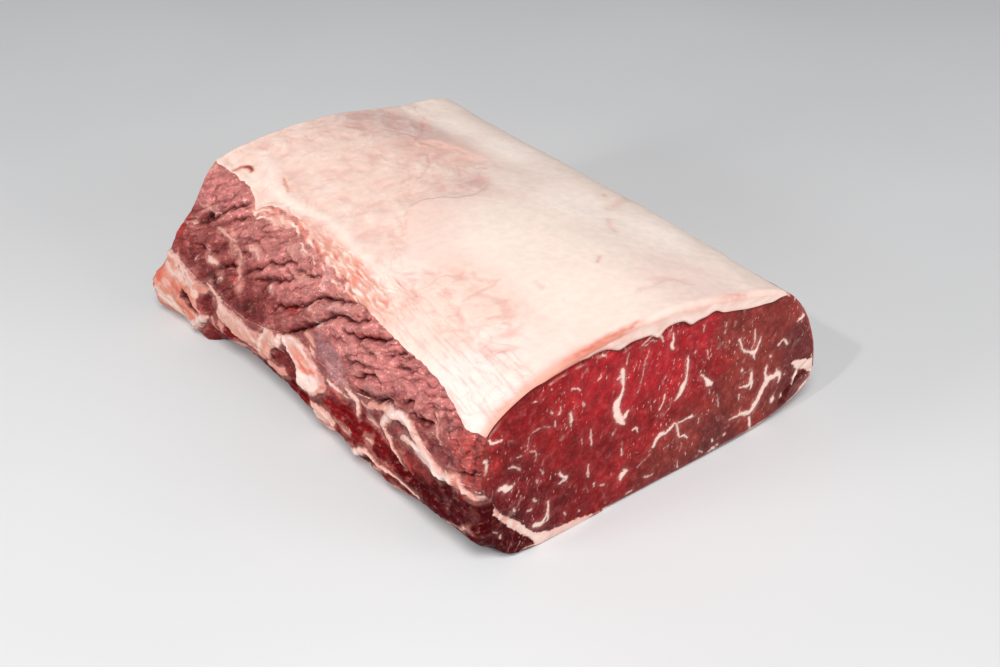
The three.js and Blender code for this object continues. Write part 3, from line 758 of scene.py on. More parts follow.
CREASES = [
    # depth, points
    (0.8, [(246, 54), (238, 57), (230, 61), (222, 66.5)]),
    (2.2, [(243, 46), (236, 51), (229, 55), (222, 60), (215, 64.5), (211, 66)]),
    (1.2, [(248, 42), (240, 47.5), (233, 51), (226, 54)]),
    (1.6, [(223, 53), (216, 57), (209, 61), (204, 64)]),
    (1.5, [(239, 38.5), (230, 41), (222, 42), (217, 45), (214, 48)]),
    (1.8, [(214, 37), (207, 40), (201, 43), (197, 45)]),
    (1.2, [(206, 49.5), (200, 49), (194, 50)]),
    (1.2, [(210, 52), (200, 55), (192, 55), (184, 54.8)]),
    (2.2, [(191, 43.5), (186, 47), (180, 50.5), (172, 54.5), (164, 58.5), (158, 60.5)]),
    (1.4, [(186, 41), (180, 44.5), (173, 48), (166, 50.5)]),
    (2.0, [(176, 46.5), (168, 49.5), (162, 52), (155, 55)]),
    (1.8, [(159, 58.5), (150, 59.5), (143, 61.5), (138, 64)]),
    (3.0, [(161, 40), (156, 43), (150, 45.5), (145, 48), (140, 50.5), (136, 53.5), (133, 56.5),
           (126, 60), (118, 63), (110, 66), (104, 69)]),
    (3.0, [(147.5, 33.5), (144, 37.5), (138, 40.5), (132, 45), (127, 49), (122, 52.5), (117, 57),
           (109, 60.3), (101, 62.5), (95, 64.8), (91, 67.5)]),
    (1.2, [(116, 46.5), (111, 50), (105, 52), (99, 53.5)]),
    (3.2, [(105, 56.5), (99, 58), (93, 59), (88, 61.5), (82, 63.5), (77, 65.5), (73, 69), (70, 71)]),
    (1.6, [(101, 43), (96, 46.5), (91, 49), (86, 50), (82, 51.5), (76, 53)]),
    (3.2, [(91, 41.5), (87, 44.5), (82, 48), (77, 50), (72, 50.8)]),
    (3.5, [(86, 36.5), (80, 38), (74, 40), (69, 42.5), (65, 45), (61, 46.5)]),
    (1.0, [(90, 56.5), (83, 58.5), (76, 58.5)]),
    (1.6, [(72, 62), (67, 64.5), (62, 67.5), (55, 69.5)]),
    (1.2, [(63, 62), (58, 63.5), (52, 65.5)]),
    (1.2, [(57, 56.5), (54, 57.5)]),
    (2.2, [(53.5, 52.5), (50, 54), (46, 55)]),
    (3.5, [(44, 50), (40, 51), (36, 52.5), (32, 55)]),
    (1.6, [(36, 59), (33, 61), (31, 61)]),
    (3.0, [(33.5, 58.8), (30, 56.8)]),
    (1.0, [(38, 63), (35, 65), (33, 66)]),
    (2.0, [(15, 41), (10, 44), (5, 47), (1, 50)]),
    (1.0, [(24, 55), (18, 60), (15, 62)]),
]
SIDE_FAT_LINES = [
    # tint, rise, points, widths
    (CREAM_FAT, 1.5, [(97, 33.5), (92, 32.5), (88, 31), (85, 27.5)], [1.6, 2.6, 2.6, 1.8]),
    (ROSE_FAT, 0.8, [(86, 32.6), (80, 34.4), (74, 37)], [0.8, 1.8, 2.6]),
    (BLUSH_FAT, 2.0, [(75, 36.6), (70, 39), (65, 41.4), (60, 43), (55, 44.6), (50, 45.4), (46, 44),
                      (43, 41), (39, 38), (34, 36.5), (29, 34.5), (24, 35), (19, 37.5), (14, 39), (9, 37)],
     [1.6, 3, 4.4, 5.4, 6.4, 6.6, 6, 5, 5, 4.6, 4.4, 4.4, 4.2, 3.8, 2.4]),
    (BLUSH_FAT, 1.4, [(57, 44), (62, 40), (66, 35.5), (68, 33), (66, 31), (60, 28.5), (54, 26), (50, 24)],
     [5.5, 5, 4, 3.2, 2.2, 1.8, 1.7, 1.0]),
    (CREAM_FAT, 1.0, [(56, 32.4), (52, 34), (45, 35), (40, 34), (35, 33), (30, 32.5), (24, 33)],
     [1.6, 3.4, 3.8, 3.4, 3, 2.8, 1.6]),
    (CREAM_FAT, 1.0, [(90, 4), (86, 8), (81, 12), (77, 14.8), (72, 15.6), (66, 15), (60, 14.6), (52, 15),
                      (46, 14.4), (39, 14)], [3.6, 4.4, 4.4, 3.6, 2.2, 1.6, 2.2, 1.8, 1.5, 1]),
    (PINK_FAT, 0.6, [(86, 2.5), (78, 3), (70, 4), (62, 6), (55, 7), (48, 6)], [1.2, 1.6, 2, 1.6, 1.2, 0.8]),
    (PINK_FAT, 0.3, [(72, 8), (68, 10), (65, 11)], [0.6, 1, 0.6]),
    (CREAM_FAT, 0.3, [(30, 5), (25, 8), (20, 12), (15, 15), (10, 17.5), (6, 20)], 0.9),
    # Partly white fat, partly a painted glint on wet fat.
    (WHITE_FAT, 0.4, [(79, 29), (75, 29.6), (71, 28.8)], [0.8, 1.5, 0.8]),
    (BLUSH_FAT, 0.4, [(76.5, 21), (74.5, 21.8), (73, 21)], [0.8, 1.6, 0.8]),
    (BLUSH_FAT, 0.8, [(20, 37), (14, 36.6), (8, 36.6), (0, 38.6)], [3, 2.6, 1.6, 2.2]),
    (CREAM_FAT, 0.3, [(199, 66.6), (192, 66.4), (185, 67.2), (178, 69)], [1, 2.6, 4, 2]),
    (CREAM_FAT, 0.4, [(221, 38.6), (217.6, 38.6), (214, 39.4)], [1.5, 3.4, 1.5]),
    (BLUSH_FAT, 0.3, [(224, 50.5), (218, 50), (212, 50.4), (208, 50)], [0.8, 1.8, 1.6, 0.8]),
    (CREAM_FAT, 0.3, [(196, 52.5), (191, 52.6), (186, 52.3)], [0.8, 2.4, 1]),
    (PINK_FAT, 0.3, [(208, 47.5), (203, 48), (199, 46), (195, 43), (193, 40)], [0.8, 1.4, 1.4, 1.6, 1.8]),
    (PINK_FAT, 0.3, [(241, 55), (236, 54.6), (230, 55)], [0.8, 1.6, 0.8]),
    (CREAM_FAT, 0.2, [(243.6, 45.6), (242.6, 45.8)], 1.6),
    (CREAM_FAT, 0.2, [(226, 41.6), (222.6, 41)], [1.2, 0.9]),
    (CREAM_FAT, 0.2, [(207, 35.4), (205, 35.6)], 1.3),
    (PINK_FAT, 0.4, [(170, 62), (166, 62.4), (162, 61)], [1, 3, 1.4]),
    (PINK_FAT, 0.4, [(156, 56), (150, 58), (145, 59.5)], [0.8, 2.4, 0.8]),
    (APRICOT_FAT, 0.3, [(190.6, 38), (189, 37.6)], 2.4),
    (PINK_FAT, 0.8, [(30, 60), (28, 57), (26.5, 52), (27, 48)], 1.2),
    (CREAM_FAT, 0.2, [(169, 46), (167, 46)], 1.3),
    (WHITE_FAT, 0.3, [(128, 50), (125, 49), (121, 50.6)], [0.8, 1.4, 0.8]),
    (PINK_FAT, 0.4, [(131, 42.4), (127, 41.6), (124, 40)], [1.2, 2.6, 1.2]),
    (CREAM_FAT, 0.4, [(126, 37.6), (123.5, 36.6)], 2),
    # Partly white fat, partly painted glints on wet fat.
    (WHITE_FAT, 0.5, [(110, 30.6), (105, 30.4), (99, 29.8), (94, 30.4)], [1, 1.6, 1.2, 0.8]),
    (CREAM_FAT, 0.9, [(214, 29.8), (208, 29.4), (202, 28), (198, 26.4), (195, 22.5), (191, 20.8)],
     [1.2, 1.6, 1.6, 2.4, 2.6, 1.6]),
    (CREAM_FAT, 0.8, [(250, 31), (243, 31), (237, 29.8), (231, 29)], [1.4, 2, 1.5, 0.8]),
    (WHITE_FAT, 1.4, [(236, 0.5), (224, 5), (214, 11), (208, 15), (205.6, 17.4)], [2, 3, 3.6, 3.6, 1.8]),
    (PINK_FAT, 0.5, [(204, 19.6), (199, 15), (197, 11)], [0.8, 1.3, 0.8]),
    (PINK_FAT, 0.4, [(198, 20), (194.6, 16.6), (193, 13)], [0.6, 1, 0.6]),
    (PINK_FAT, 0.5, [(187, 12), (178, 14), (168, 15.4)], [1, 2, 1.4]),
    (PINK_FAT, 0.3, [(140, 12), (134, 9), (129, 4)], [0.8, 1.4, 0.8]),
    (ROSE_FAT, 0.3, [(100, 17.6), (94, 17), (88, 16.6)], [0.8, 1.4, 0.8]),
]
SIDE_FAT_PATCHES = [
    # tint, rise, corners
    (APRICOT_FAT, 1.0, [(254, 31), (240, 30), (225, 29.2), (215, 28.4), (210, 28.2), (212, 26.5),
                        (216.5, 22), (212, 17), (207.5, 17), (207, 14), (214, 9), (226, 3), (236, -2),
                        (254, -2)]),
    (BEIGE_FAT, 1.1, [(199, 27.4), (190, 26.6), (178, 27), (170, 26.5), (163.4, 28), (160, 31.4),
                      (156, 32.6), (152, 31.4), (151, 28), (154, 24), (153.4, 20), (160, 17.6),
                      (168, 19.4), (186, 19), (192, 20), (196, 24)]),
    (CREAM_FAT, 1.2, [(152, 30.6), (149.5, 33.2), (147, 32.6), (147.4, 29.6), (150, 27.8), (152, 28)]),
    (BLUSH_FAT, 1.3, [(146.6, 34.8), (140, 37), (134.5, 38), (130, 37), (125.7, 35.2), (120, 31.8),
                      (113, 30.2), (109, 28), (110, 24.6), (115.5, 21), (120, 19.2), (125.7, 19.2),
                      (129.4, 21), (132, 24.4), (136.6, 27.2), (141.4, 29.6), (145.7, 31)]),
    (ROSE_FAT, 0.5, [(154, 19.6), (148, 19), (142, 19.6), (140, 17.4), (146, 15.8), (154, 16.4)]),
    (BLUSH_FAT, 0.9, [(120, 15), (113, 18.6), (104, 18.6), (100, 14.6), (103, 8), (108, 4), (115, 3),
                      (119, 6), (117, 10)]),
]
SIDE_TINTS = [
    # tint, strength, points, widths: colour laid over fat without changing its outline
    (CREAM_FAT, 0.9, [(246, 15), (236, 12), (226, 8), (218, 7)], [4, 6, 5, 2]),
    (CREAM_FAT, 0.8, [(246, 27), (236, 25), (226, 25.6), (218, 24), (214, 19.6)], [1.6, 2.4, 2, 2, 1.6]),
    (FLAME_FAT, 0.6, [(249, 25), (246, 22), (244.6, 19)], [3, 4, 2]),
    (FLAME_FAT, 0.45, [(238, 21), (231, 21.4), (226, 23)], [1, 2, 1]),
    (FLAME_FAT, 0.45, [(226, 16), (220, 14), (216, 12)], [1, 2, 1]),
    (ORANGE_FAT, 0.5, [(253, 18.5), (249, 16.6)], 3),
    (WHITE_FAT, 0.8, [(240, 28.4), (230, 27.4), (222, 27.4)], 1),
    (PALE_FAT, 0.45, [(198, 26), (190, 25.4), (180, 25.6), (170, 25)], [1.2, 1.4, 1.2, 1]),
    (CREAM_FAT, 0.9, [(162, 20), (161, 25), (160, 29.6), (157, 31.4)], [1, 2.4, 2.4, 1.6]),
    (ROSE_FAT, 0.7, [(157.4, 19), (157, 24), (156, 28.6)], 1.4),
    (WHITE_FAT, 0.8, [(150, 32), (148.6, 29.6)], 1.4),
    (PALE_FAT, 0.95, [(146.4, 33), (141, 31), (136, 28.6), (132.4, 25), (129, 21.6), (123, 20)],
     [1.6, 2, 2.4, 2.4, 2.6, 1.6]),
    (PALE_FAT, 0.75, [(131, 25), (126, 23.4), (120, 24), (114.6, 26.4)], [3, 6, 7.4, 4]),
    (WHITE_FAT, 0.7, [(128, 24.4), (121, 25.6), (116, 26.8)], [1.4, 2.4, 1.4]),
    (WHITE_FAT, 0.6, [(143, 35.4), (137, 35.6), (132, 35.4), (127, 34)], [1, 2, 1.8, 1]),
    (FLAME_FAT, 0.8, [(131, 29.6), (127, 28), (123, 27.8), (119, 29.8)], [1.4, 2.8, 2.4, 1.2]),
    (FLAME_FAT, 0.6, [(140, 31.4), (135, 30.4), (131, 30.4)], [1, 1.8, 1.2]),
    (APRICOT_FAT, 0.9, [(137, 33.2), (131, 32.2), (125, 31)], [1.2, 2, 1.2]),
    (ORANGE_FAT, 0.55, [(114, 24), (111, 27), (109, 29)], [1, 2, 1.6]),
    (ROSY_LEAN, 0.7, [(130, 37), (124, 34.4), (117, 31.4), (111, 30.2)], [1, 2.2, 2.2, 1.4]),
    (WHITE_FAT, 0.85, [(61, 44.6), (55, 46.8), (49.6, 47), (46.4, 44.6)], [1.6, 3, 3.6, 2.6]),
    (APRICOT_FAT, 0.6, [(74, 37.6), (68, 40.6), (63, 41.4)], [2, 3, 2]),
    (WHITE_FAT, 0.8, [(66.6, 34.4), (63, 38.6), (60, 42)], [1.6, 2.2, 1.4]),
    (APRICOT_FAT, 0.5, [(52, 42.4), (47, 42), (44, 39.6)], [1.6, 2.4, 1.6]),
    (WHITE_FAT, 0.8, [(52, 34.4), (45, 35.6), (37, 36.8), (31, 34.6), (26, 33.4), (21, 36.4), (17.6, 38.4)],
     [1.4, 2.6, 3, 2.4, 2, 2, 1.4]),
    (ORANGE_FAT, 0.75, [(15, 38.6), (12, 36), (9, 34)], [2, 4, 2.4]),
    (FLAME_FAT, 0.5, [(22, 31.4), (18, 31)], 1.8),
    (ROSE_FAT, 0.7, [(9, 38), (4, 36.6), (0, 37)], 2),
    (WHITE_FAT, 0.9, [(88, 6), (83, 10), (78, 13.4), (73, 15)], [1.6, 2.4, 2, 1]),
    (WHITE_FAT, 0.8, [(117, 12), (111, 13.6), (104, 16)], [1, 1.6, 1]),
    (ROSY_LEAN, 0.7, [(115, 8), (108, 9), (104, 13)], [1.6, 2, 1.4]),
]
SIDE_LEAN_SPOTS = [
    # tint, strength, points, widths: colour laid over the lean
    (BRIGHT_LEAN, 0.6, [(151.5, 44.2), (146.5, 45.8), (142, 47.2)], [2, 3, 2]),
    (BRIGHT_LEAN, 0.55, [(197, 38.6), (190, 39)], 2.4),
    (BRIGHT_LEAN, 0.5, [(251, 48), (248.6, 42), (251, 37)], [4, 5, 4]),
    (BRIGHT_LEAN, 0.6, [(96, 60), (90, 61), (80, 65)], 1.6),
    (BRIGHT_LEAN, 0.7, [(109, 27), (104, 28), (99, 27.4)], [1.4, 2.6, 1.4]),
    (EMBER_LEAN, 0.8, [(50, 26.6), (46, 25), (43, 22.6)], [2, 4, 2]),
    (EMBER_LEAN, 0.45, [(18, 66), (10, 60), (2, 56)], [4, 9, 9]),
    (BRIGHT_LEAN, 0.7, [(17, 35.6), (12, 34), (8, 34.6)], [2, 4, 2]),
    (LOW_LEAN, 0.5, [(4, 62), (0, 52), (2, 42)], [4, 7, 5]),
    # Painted shadow on the chain's lower front.
    (PAINTED_SHADOW_LEAN, 0.7, [(0, 32), (0, 2)], 16),
    (LILAC_LEAN, 0.6, [(138, 69), (134, 66), (130, 63)], [3, 5, 4]),
    (LILAC_LEAN, 0.4, [(122, 58), (115, 62), (106, 64)], [2, 4, 3]),
    (LILAC_LEAN, 0.45, [(168, 63), (158, 66), (150, 67)], [2, 4, 2]),
    (LILAC_LEAN, 0.35, [(112, 36), (104, 35), (98, 36)], [3, 5, 3]),
    # A low band at the back, and two dark spots in it: partly painted shade, partly the lean's own darker
    # colour.
    (LOW_LEAN, 0.7, [(242, 35), (228, 34), (212, 33.4), (196, 33.6), (182, 34), (168, 35)],
     [3, 6, 8, 8, 10, 7]),
    (DARK_LEAN, 0.6, [(214, 33.4), (206, 33)], 4),
    (DARK_LEAN, 0.6, [(184, 32.6), (176, 33.4)], [3, 6]),
    (DARK_LEAN, 0.8, [(123, 18.6), (116, 20), (108, 20.4)], [1.6, 2.8, 1.4]),
    # Painted shade under a pillow of lean, along a crease.
    (DARK_LEAN, 0.7, [(85, 38), (78, 40.6), (70, 43.4), (63, 46.4)], [2, 4, 3.6, 1.4]),
    (ROSY_LEAN, 0.6, [(90, 42), (82, 45), (75, 48)], [2, 3, 1.8]),
    (DARK_LEAN, 0.7, [(60, 22), (48, 20), (36, 20)], [3, 6, 8]),
    # Painted shadow on the chain's lower front.
    (PAINTED_SHADOW_LEAN, 0.9, [(42, 12), (30, 16), (18, 20), (0, 22)], [10, 18, 24, 24]),
    (BROWN_LEAN, 0.7, [(56, 37), (50, 39), (46, 38)], [4, 5, 3]),
    (BROWN_LEAN, 0.6, [(60, 26), (46, 28), (32, 28)], [2, 4, 3]),
    (ROSY_LEAN, 0.5, [(40, 58), (30, 64), (20, 66)], [3, 5, 3]),
]
SIDE_HOLLOWS = [
    # sink, points, widths
    (4.0, [(228, 21), (222, 19), (217.5, 16.8), (213.5, 14.4)], [2.2, 4.2, 4.6, 2.6]),
    (3.0, [(82, 4), (77, 8), (71, 11.4), (65, 13)], [2, 4.4, 4.4, 2]),
    (1.6, [(147, 35.6), (146.4, 33.6)], 1.6),
    (1.6, [(58, 39), (52, 40.5), (47, 40)], [3, 5, 3]),
]
POCKETS = [
    # sink, corners
    (3.0, [(152, 26.6), (147, 28.8), (141.4, 28.4), (137, 26.6), (134.4, 24.4), (130.6, 21.4), (134, 20.6),
           (141, 19.8), (149, 20.4)]),
    (3.5, [(211.4, 26), (206.4, 26.6), (202.2, 22), (202.6, 19.6), (208, 19), (213, 21)]),
]
SILVER_PATCH = [(124, 46), (116, 47), (108, 46.6), (101, 43), (99, 39), (104, 37), (112, 36.4), (120, 38)]
FURROWS = [
    # depth, points
    (2.0, [(2, 24), (40, 21), (76, 25)]),
    (1.6, [(8, 13), (60, 10.5), (100, 16)]),
    (2.4, [(104, 12), (135, 17), (152, 22)]),
    (1.6, [(150, 10), (185, 17), (206, 21)]),
    (2.0, [(206, 8), (224, 18)]),
    (2.0, [(222, 8), (238, 20)]),
]
# How far the foot of the side is drawn in: (distance from the front, depth).
UNDERCUT = [(0, 2.2), (25, 1.2), (50, 0.2), (75, -0.6), (86, -0.8), (93, 1.6), (100, 2.2), (106, 0.4),
            (112, -0.8), (119, -0.6), (126, 0), (136, 0.8), (144, 2.2), (170, 2.8), (188, 2.2), (200, 0.6),
            (206, -1.5), (212, -6), (218, -5), (226, -2), (240, -1), (252, -2)]
# The side's colours of lean, each with its distance from the front and height. The low ones are
# darker: partly the chain's own darker lean, partly painted shade on the lower parts and along a
# band at the back; the darkest, low at the front, are painted shadow.
SIDE_LEAN = [
    (245, 62, ROSY_LEAN), (230, 45, BROWN_LEAN), (215, 62, ROSY_LEAN), (200, 42, BROWN_LEAN),
    (185, 60, ROSY_LEAN), (170, 38, BROWN_LEAN), (160, 55, ROSY_LEAN), (140, 64, ROSY_LEAN),
    (135, 42, BROWN_LEAN), (110, 60, ROSY_LEAN), (85, 56, ROSY_LEAN), (70, 60, ROSY_LEAN),
    (50, 60, ROSY_LEAN), (45, 50, BROWN_LEAN), (25, 60, ROSY_LEAN), (20, 46, BROWN_LEAN),
    (8, 56, EMBER_LEAN), (3, 45, EMBER_LEAN), (20, 25, DARK_LEAN), (5, 20, DARK_LEAN), (5, 8, DARK_LEAN),
    (60, 22, DEEP_LEAN), (90, 22, DEEP_LEAN), (120, 12, DEEP_LEAN), (150, 15, DARK_LEAN),
    (180, 10, DEEP_LEAN), (220, 24, BROWN_LEAN), (245, 15, BROWN_LEAN), (245, 35, BROWN_LEAN),
]


def crease_field(at, creases, width):
    """How deep creases are at points, and how close the nearest one is, from 0 to 1."""
    depth, close = np.zeros(len(at)), np.zeros(len(at))
    for deep, points in creases:
        route = np.asarray(points, float)
        ends = np.sin(np.linspace(0.25, math.pi - 0.25, len(route))) ** 0.5
        line = smooth_route(np.column_stack([route, np.resize(deep * ends, len(route))]), 3)
        near, distance, value = nearest_on(at, line, 13.0)
        cut = value * (np.exp(-distance / width) - 0.30 * bell(distance - 3.6, 2.2))
        depth[near] += cut
        strength = 0.4 + 0.6 * smoothstep(value, 0.4, 2.0)
        close[near] = np.maximum(close[near], strength * bell(distance, 0.75))
    return depth, close


class SidePlaces:
    """Points on the left side, with the wandering places and the shares that its layers draw from."""

    def __init__(self, d, z):
        self.d = d
        self.z = z
        self.plain = pairs(d, z)
        self.wander = drift(d / 7, z / 5, (11, 12), 2)
        self.fine = drift(d / 2.6, z / 2.2, (13, 14), 2)
        self.lobes = drift(d / 4.6, z / 4.6, (35, 36))
        self.at = self.plain + self.wander + 0.5 * self.fine
        self.along_grain = -0.88 * d + 0.47 * z
        self.across = 0.47 * d + 0.88 * z
        swing = 2.4 * noise(self.along_grain / 19, self.across / 12, 15)
        self.bent = self.across + swing + 0.35 * self.fine[:, 0] + 0.8 * self.lobes[:, 0]
        self.above_seam = z - np.interp(d, SAMPLES, UPPER_HEIGHT)
        self.below_fat = np.interp(d, SAMPLES, EDGE_HEIGHT) - z
        self.lean_part = smoothstep(self.above_seam, -1, 5)
        self.chain_part = 1 - self.lean_part
        self.front_part = 1 - smoothstep(d, 45, 95)


def side_look(d, z):
    """The look of the left side, layer by layer."""
    look = Look(len(d))
    side = SidePlaces(d, z)
    look.lean = spread(side.plain, SIDE_LEAN, (1.0, 0.45))
    for add_layer in (
        add_creases, add_chain_fibres, add_silver_and_spots, add_side_fat, add_side_tints, add_veins,
        add_torn_edge, add_hollows, shape_side,
    ):
        add_layer(look, side)
    return look


def add_creases(look, side):
    """The folds of the bare lean: the drawn creases, with pillows, fine creases and pits between them."""
    d, z, lean_part = side.d, side.z, side.lean_part
    bent, along_grain = side.bent, side.along_grain
    route = side.plain + 0.9 * side.wander + 0.25 * side.fine + 0.9 * side.lobes
    deep, close = crease_field(route, CREASES, 0.8)
    look.relief += 1.25 * deep * smoothstep(side.above_seam, -5, 1)
    patchy = lerp(smoothstep(noise(d / 24, z / 11, 17), -0.6, 0.4), 1, 0.6 * side.front_part)
    spacing = lerp(26, 12, side.front_part)
    minor = noise(bent / 5.6, (along_grain + 2 * side.fine[:, 1]) / spacing, 16)
    pillow = cusps(minor, 0.7) * lean_part
    ridge = cusps(minor, 0.13) * patchy * lean_part
    small = noise(bent / 2.5 + 7, along_grain / 6.5, 19)
    tiny = cusps(small, 0.14) * smoothstep(noise(d / 13, z / 7, 27), -0.1, 0.5) * lean_part
    look.relief += (0.95 * pillow + 0.45 * ridge) * lerp(0.35, 1, patchy)
    look.relief += lerp(0.16, 0.34, side.front_part) * cusps(small, 0.6) * lean_part
    cross = np.exp(-np.abs(noise(along_grain / 5.5, bent / 12, 29)) / 0.07) * smoothstep(d, 150, 190)
    look.relief += 0.15 * cross * lean_part
    pits = smoothstep(noise(d / 4.2, z / 3.2, 30), 0.42, 0.75) * lean_part
    pits *= bell(d - 55, 32, z - 53, 8)
    look.relief += 1.5 * pits
    # Painted shade: dark in the drawn creases, the fine creases and the pits.
    dark = np.maximum(0.85 * ridge**0.7, np.maximum(0.4 * tiny**0.7, 0.75 * pits))
    look.shade = np.maximum(1.1 * close, np.maximum(dark, 0.15 * cross * lean_part))
    # Painted highlight on the raised lobes, which are made lighter and pinker.
    raised = smoothstep(-look.relief, -0.3, 0.9) * lean_part
    look.lean = mixed(look.lean * (1 + 0.10 * raised)[:, None], PINK_FAT, 0.14 * raised)
    # Painted shade: darker where the surface sinks deep.
    look.lean = look.lean * (1 - 0.25 * smoothstep(look.relief, 0.6, 2.2) * lean_part)[:, None]


def add_chain_fibres(look, side):
    """The chain's fibres and furrows, with film and brown threads over them."""
    d, z, chain_part = side.d, side.z, side.chain_part
    fibres = fractal((d + 0.4 * z) / 15, (z - 0.12 * d) / 1.5, 2, 21)
    look.relief += chain_part * (0.9 * fractal(d / 24, z / 6, 2, 20) + 0.22 * fibres)
    furrow, _ = crease_field(side.at, FURROWS, 3.2)
    look.relief += chain_part * furrow
    vary = 1 + 0.16 * fractal(side.along_grain / 10, side.across / 3, 3, 22) * side.lean_part
    look.lean = look.lean * (0.95 * vary + 0.24 * chain_part * fractal(d / 16, z / 3, 3, 23))[:, None]
    film = smoothstep(fractal(d / 26, z / 5, 3, 32), 0.2, 0.9) * chain_part * smoothstep(d, 15, 60)
    look.tint_lean(SILVERSKIN, 0.35 * film * smoothstep(d, 50, 90))
    thread = cusps(fractal(d / 30, z / 3.2 + d / 90, 2, 40), 0.16) * chain_part
    look.tint_lean(BROWN_LEAN, 0.45 * thread * smoothstep(d, 40, 80))
    look.relief -= 0.2 * thread


def add_silver_and_spots(look, side):
    """The patch of silverskin, the spots of other lean, and where the lean is wet."""
    patch = smoothstep(patch_depth(side.plain + 1.5 * side.wander, SILVER_PATCH), -1.5, 1.5)
    look.tint_lean(SILVERSKIN, 0.7 * patch)
    look.relief = lerp(look.relief, 0.35 * look.relief, patch)
    look.shade = look.shade * (1 - 0.6 * patch)
    for tint, strength, points, widths in SIDE_LEAN_SPOTS:
        look.tint_lean(tint, strength * smoothstep(stroke_depth(side.at, points, widths), -1.6, 1.2))
    damp = smoothstep(noise(side.d / 2.4, side.z / 1.8, 37), 0.2, 0.6) * lerp(1.0, 0.6, side.chain_part)
    look.wet = np.maximum(0.2 * patch, damp) * (1 - 0.8 * np.clip(look.shade, 0, 1))


def add_side_fat(look, side):
    """The patches and lines of fat, each raised from the lean, with painted shade round it."""
    for tint, rise, corners in SIDE_FAT_PATCHES:
        look.add_fat(patch_depth(side.at, corners), tint, rise)
    for tint, rise, points, widths in SIDE_FAT_LINES:
        look.add_fat(stroke_depth(side.at, points, widths), tint, rise)


def add_side_tints(look, side):
    """The colours within the side's fat: streaks, drawn tints, shreds of lean and rosy thin edges."""
    d, z = side.d, side.z
    streaks = fractal((d + 0.25 * z) / 11, (z - 0.25 * d) / 1.9, 3, 26)
    tone = smoothstep(fractal(d / 11, z / 4, 3, 34), -0.5, 0.5)
    look.tint_fat(ROSE_FAT, 0.15 + 0.35 * tone)
    look.tint_fat(PINK_FAT, 0.5 * smoothstep(streaks, 0.0, 0.8))
    look.tint_fat(WHITE_FAT, 0.4 * smoothstep(-streaks, 0.15, 0.8))
    at = side.at + 0.6 * side.lobes
    for tint, strength, points, widths in SIDE_TINTS:
        depth = stroke_depth(at, points, widths) + 0.5 * streaks
        look.tint_fat(tint, strength * smoothstep(depth, -1.0, 0.8))
    # Painted shade: the side's fat is darkened, more towards the back.
    look.tallow = look.tallow * lerp(0.88, 0.78, smoothstep(d, 140, 165))[:, None]
    shreds = smoothstep(fractal((d + 0.3 * z) / 8, (z - 0.3 * d) / 1.5, 2, 42), 0.3, 0.7)
    shreds = shreds * smoothstep(noise(d / 10, z / 6, 43), -0.2, 0.4) * smoothstep(d, 98, 108)
    look.tint_fat(EMBER_LEAN, 0.6 * shreds)
    look.tint_fat(ROSE_FAT, 0.6 * (1 - smoothstep(look.fat, -0.2, 1.3)))
    look.relief += 0.5 * smoothstep(streaks, 0.1, 0.7) * smoothstep(look.fat, 0, 1)
    film_reach = 2.6 + 1.8 * noise(d / 8, z / 5, 38)
    look.tint_lean(PINK_FAT, 0.45 * smoothstep(look.fat, -film_reach, 0))


def add_veins(look, side):
    """Thin pink veins in the bare lean, along its grain."""
    veins = noise(side.bent / 5.5, side.along_grain / 26, 24)
    sparse = smoothstep(noise(side.d / 18, side.z / 9, 25), -0.35, 0.3)
    vein = 0.22 - np.abs(veins) * 9 - 1.4 * sparse
    look.add_fat(np.where(side.lean_part > 0.5, vein, -3.0), PINK_FAT)


def add_torn_edge(look, side):
    """The torn lower edge of the fat cap: a rosy veil and a fringe of strands down over the lean."""
    d, below = side.d, side.below_fat
    strands = fractal((d + 1.2 * below) / 10, below / 1.5 - d / 45 + 0.35 * side.lobes[:, 1], 3, 33)
    torn = smoothstep(d, 86, 112) * lerp(1, 0.25, smoothstep(d, 203, 216))
    veil = torn * (0.75 + 0.5 * strands) * decay(below, 6.5)
    look.tint_lean(ROSE_FAT, np.clip(veil, 0, 0.85))
    fringe = torn * (1.9 * strands + 0.6) - 2.0 * (1 - torn) - np.maximum(below, 0) / 2.8
    blend = smoothstep(strands + 0.5 * side.lobes[:, 1], -0.3, 0.9)
    tint = mixed(ROSE_FAT, CREAM_FAT, blend)
    tint = mixed(tint, FLAME_FAT, 0.6 * smoothstep(noise(d / 9, below / 3, 39), 0.1, 0.6))
    look.add_fat(0.6 * fringe, tint, 0.3)


def add_hollows(look, side):
    """Pockets and hollows where the fat is gone and brown lean shows, in painted shade."""
    d, z = side.d, side.z
    bare = BROWN_LEAN * (1 + 0.35 * fractal((d + z) / 7, (z - 0.3 * d) / 1.4, 2, 44))[:, None]
    for sink, corners in POCKETS:
        look.add_hollow(patch_depth(side.at, corners), bare, sink)
    for sink, points, widths in SIDE_HOLLOWS:
        # The narrow hollows' lean is darker still: painted shade in them.
        look.add_hollow(stroke_depth(side.at, points, widths), 0.6 * bare, sink)


def shape_side(look, side):
    """The side's larger form: its undercut foot, two swellings at the back, and its upper edge."""
    d, z = side.d, side.z
    look.relief *= smoothstep(z, 0, 4)
    low = 1 - smoothstep(z, 2, 15)
    look.relief += low * np.interp(d, *np.array(UNDERCUT).T)
    look.relief -= 3.4 * bell(d - 253, 8, z - 19, 5)
    look.relief -= 2.6 * bell(d - 250, 9, z - 40, 7)
    look.relief = np.clip(look.relief, -6.0, 6.0) * smoothstep(side.below_fat, -0.2, 1.6)
    look.relief += 0.5 * decay(side.below_fat, 5)


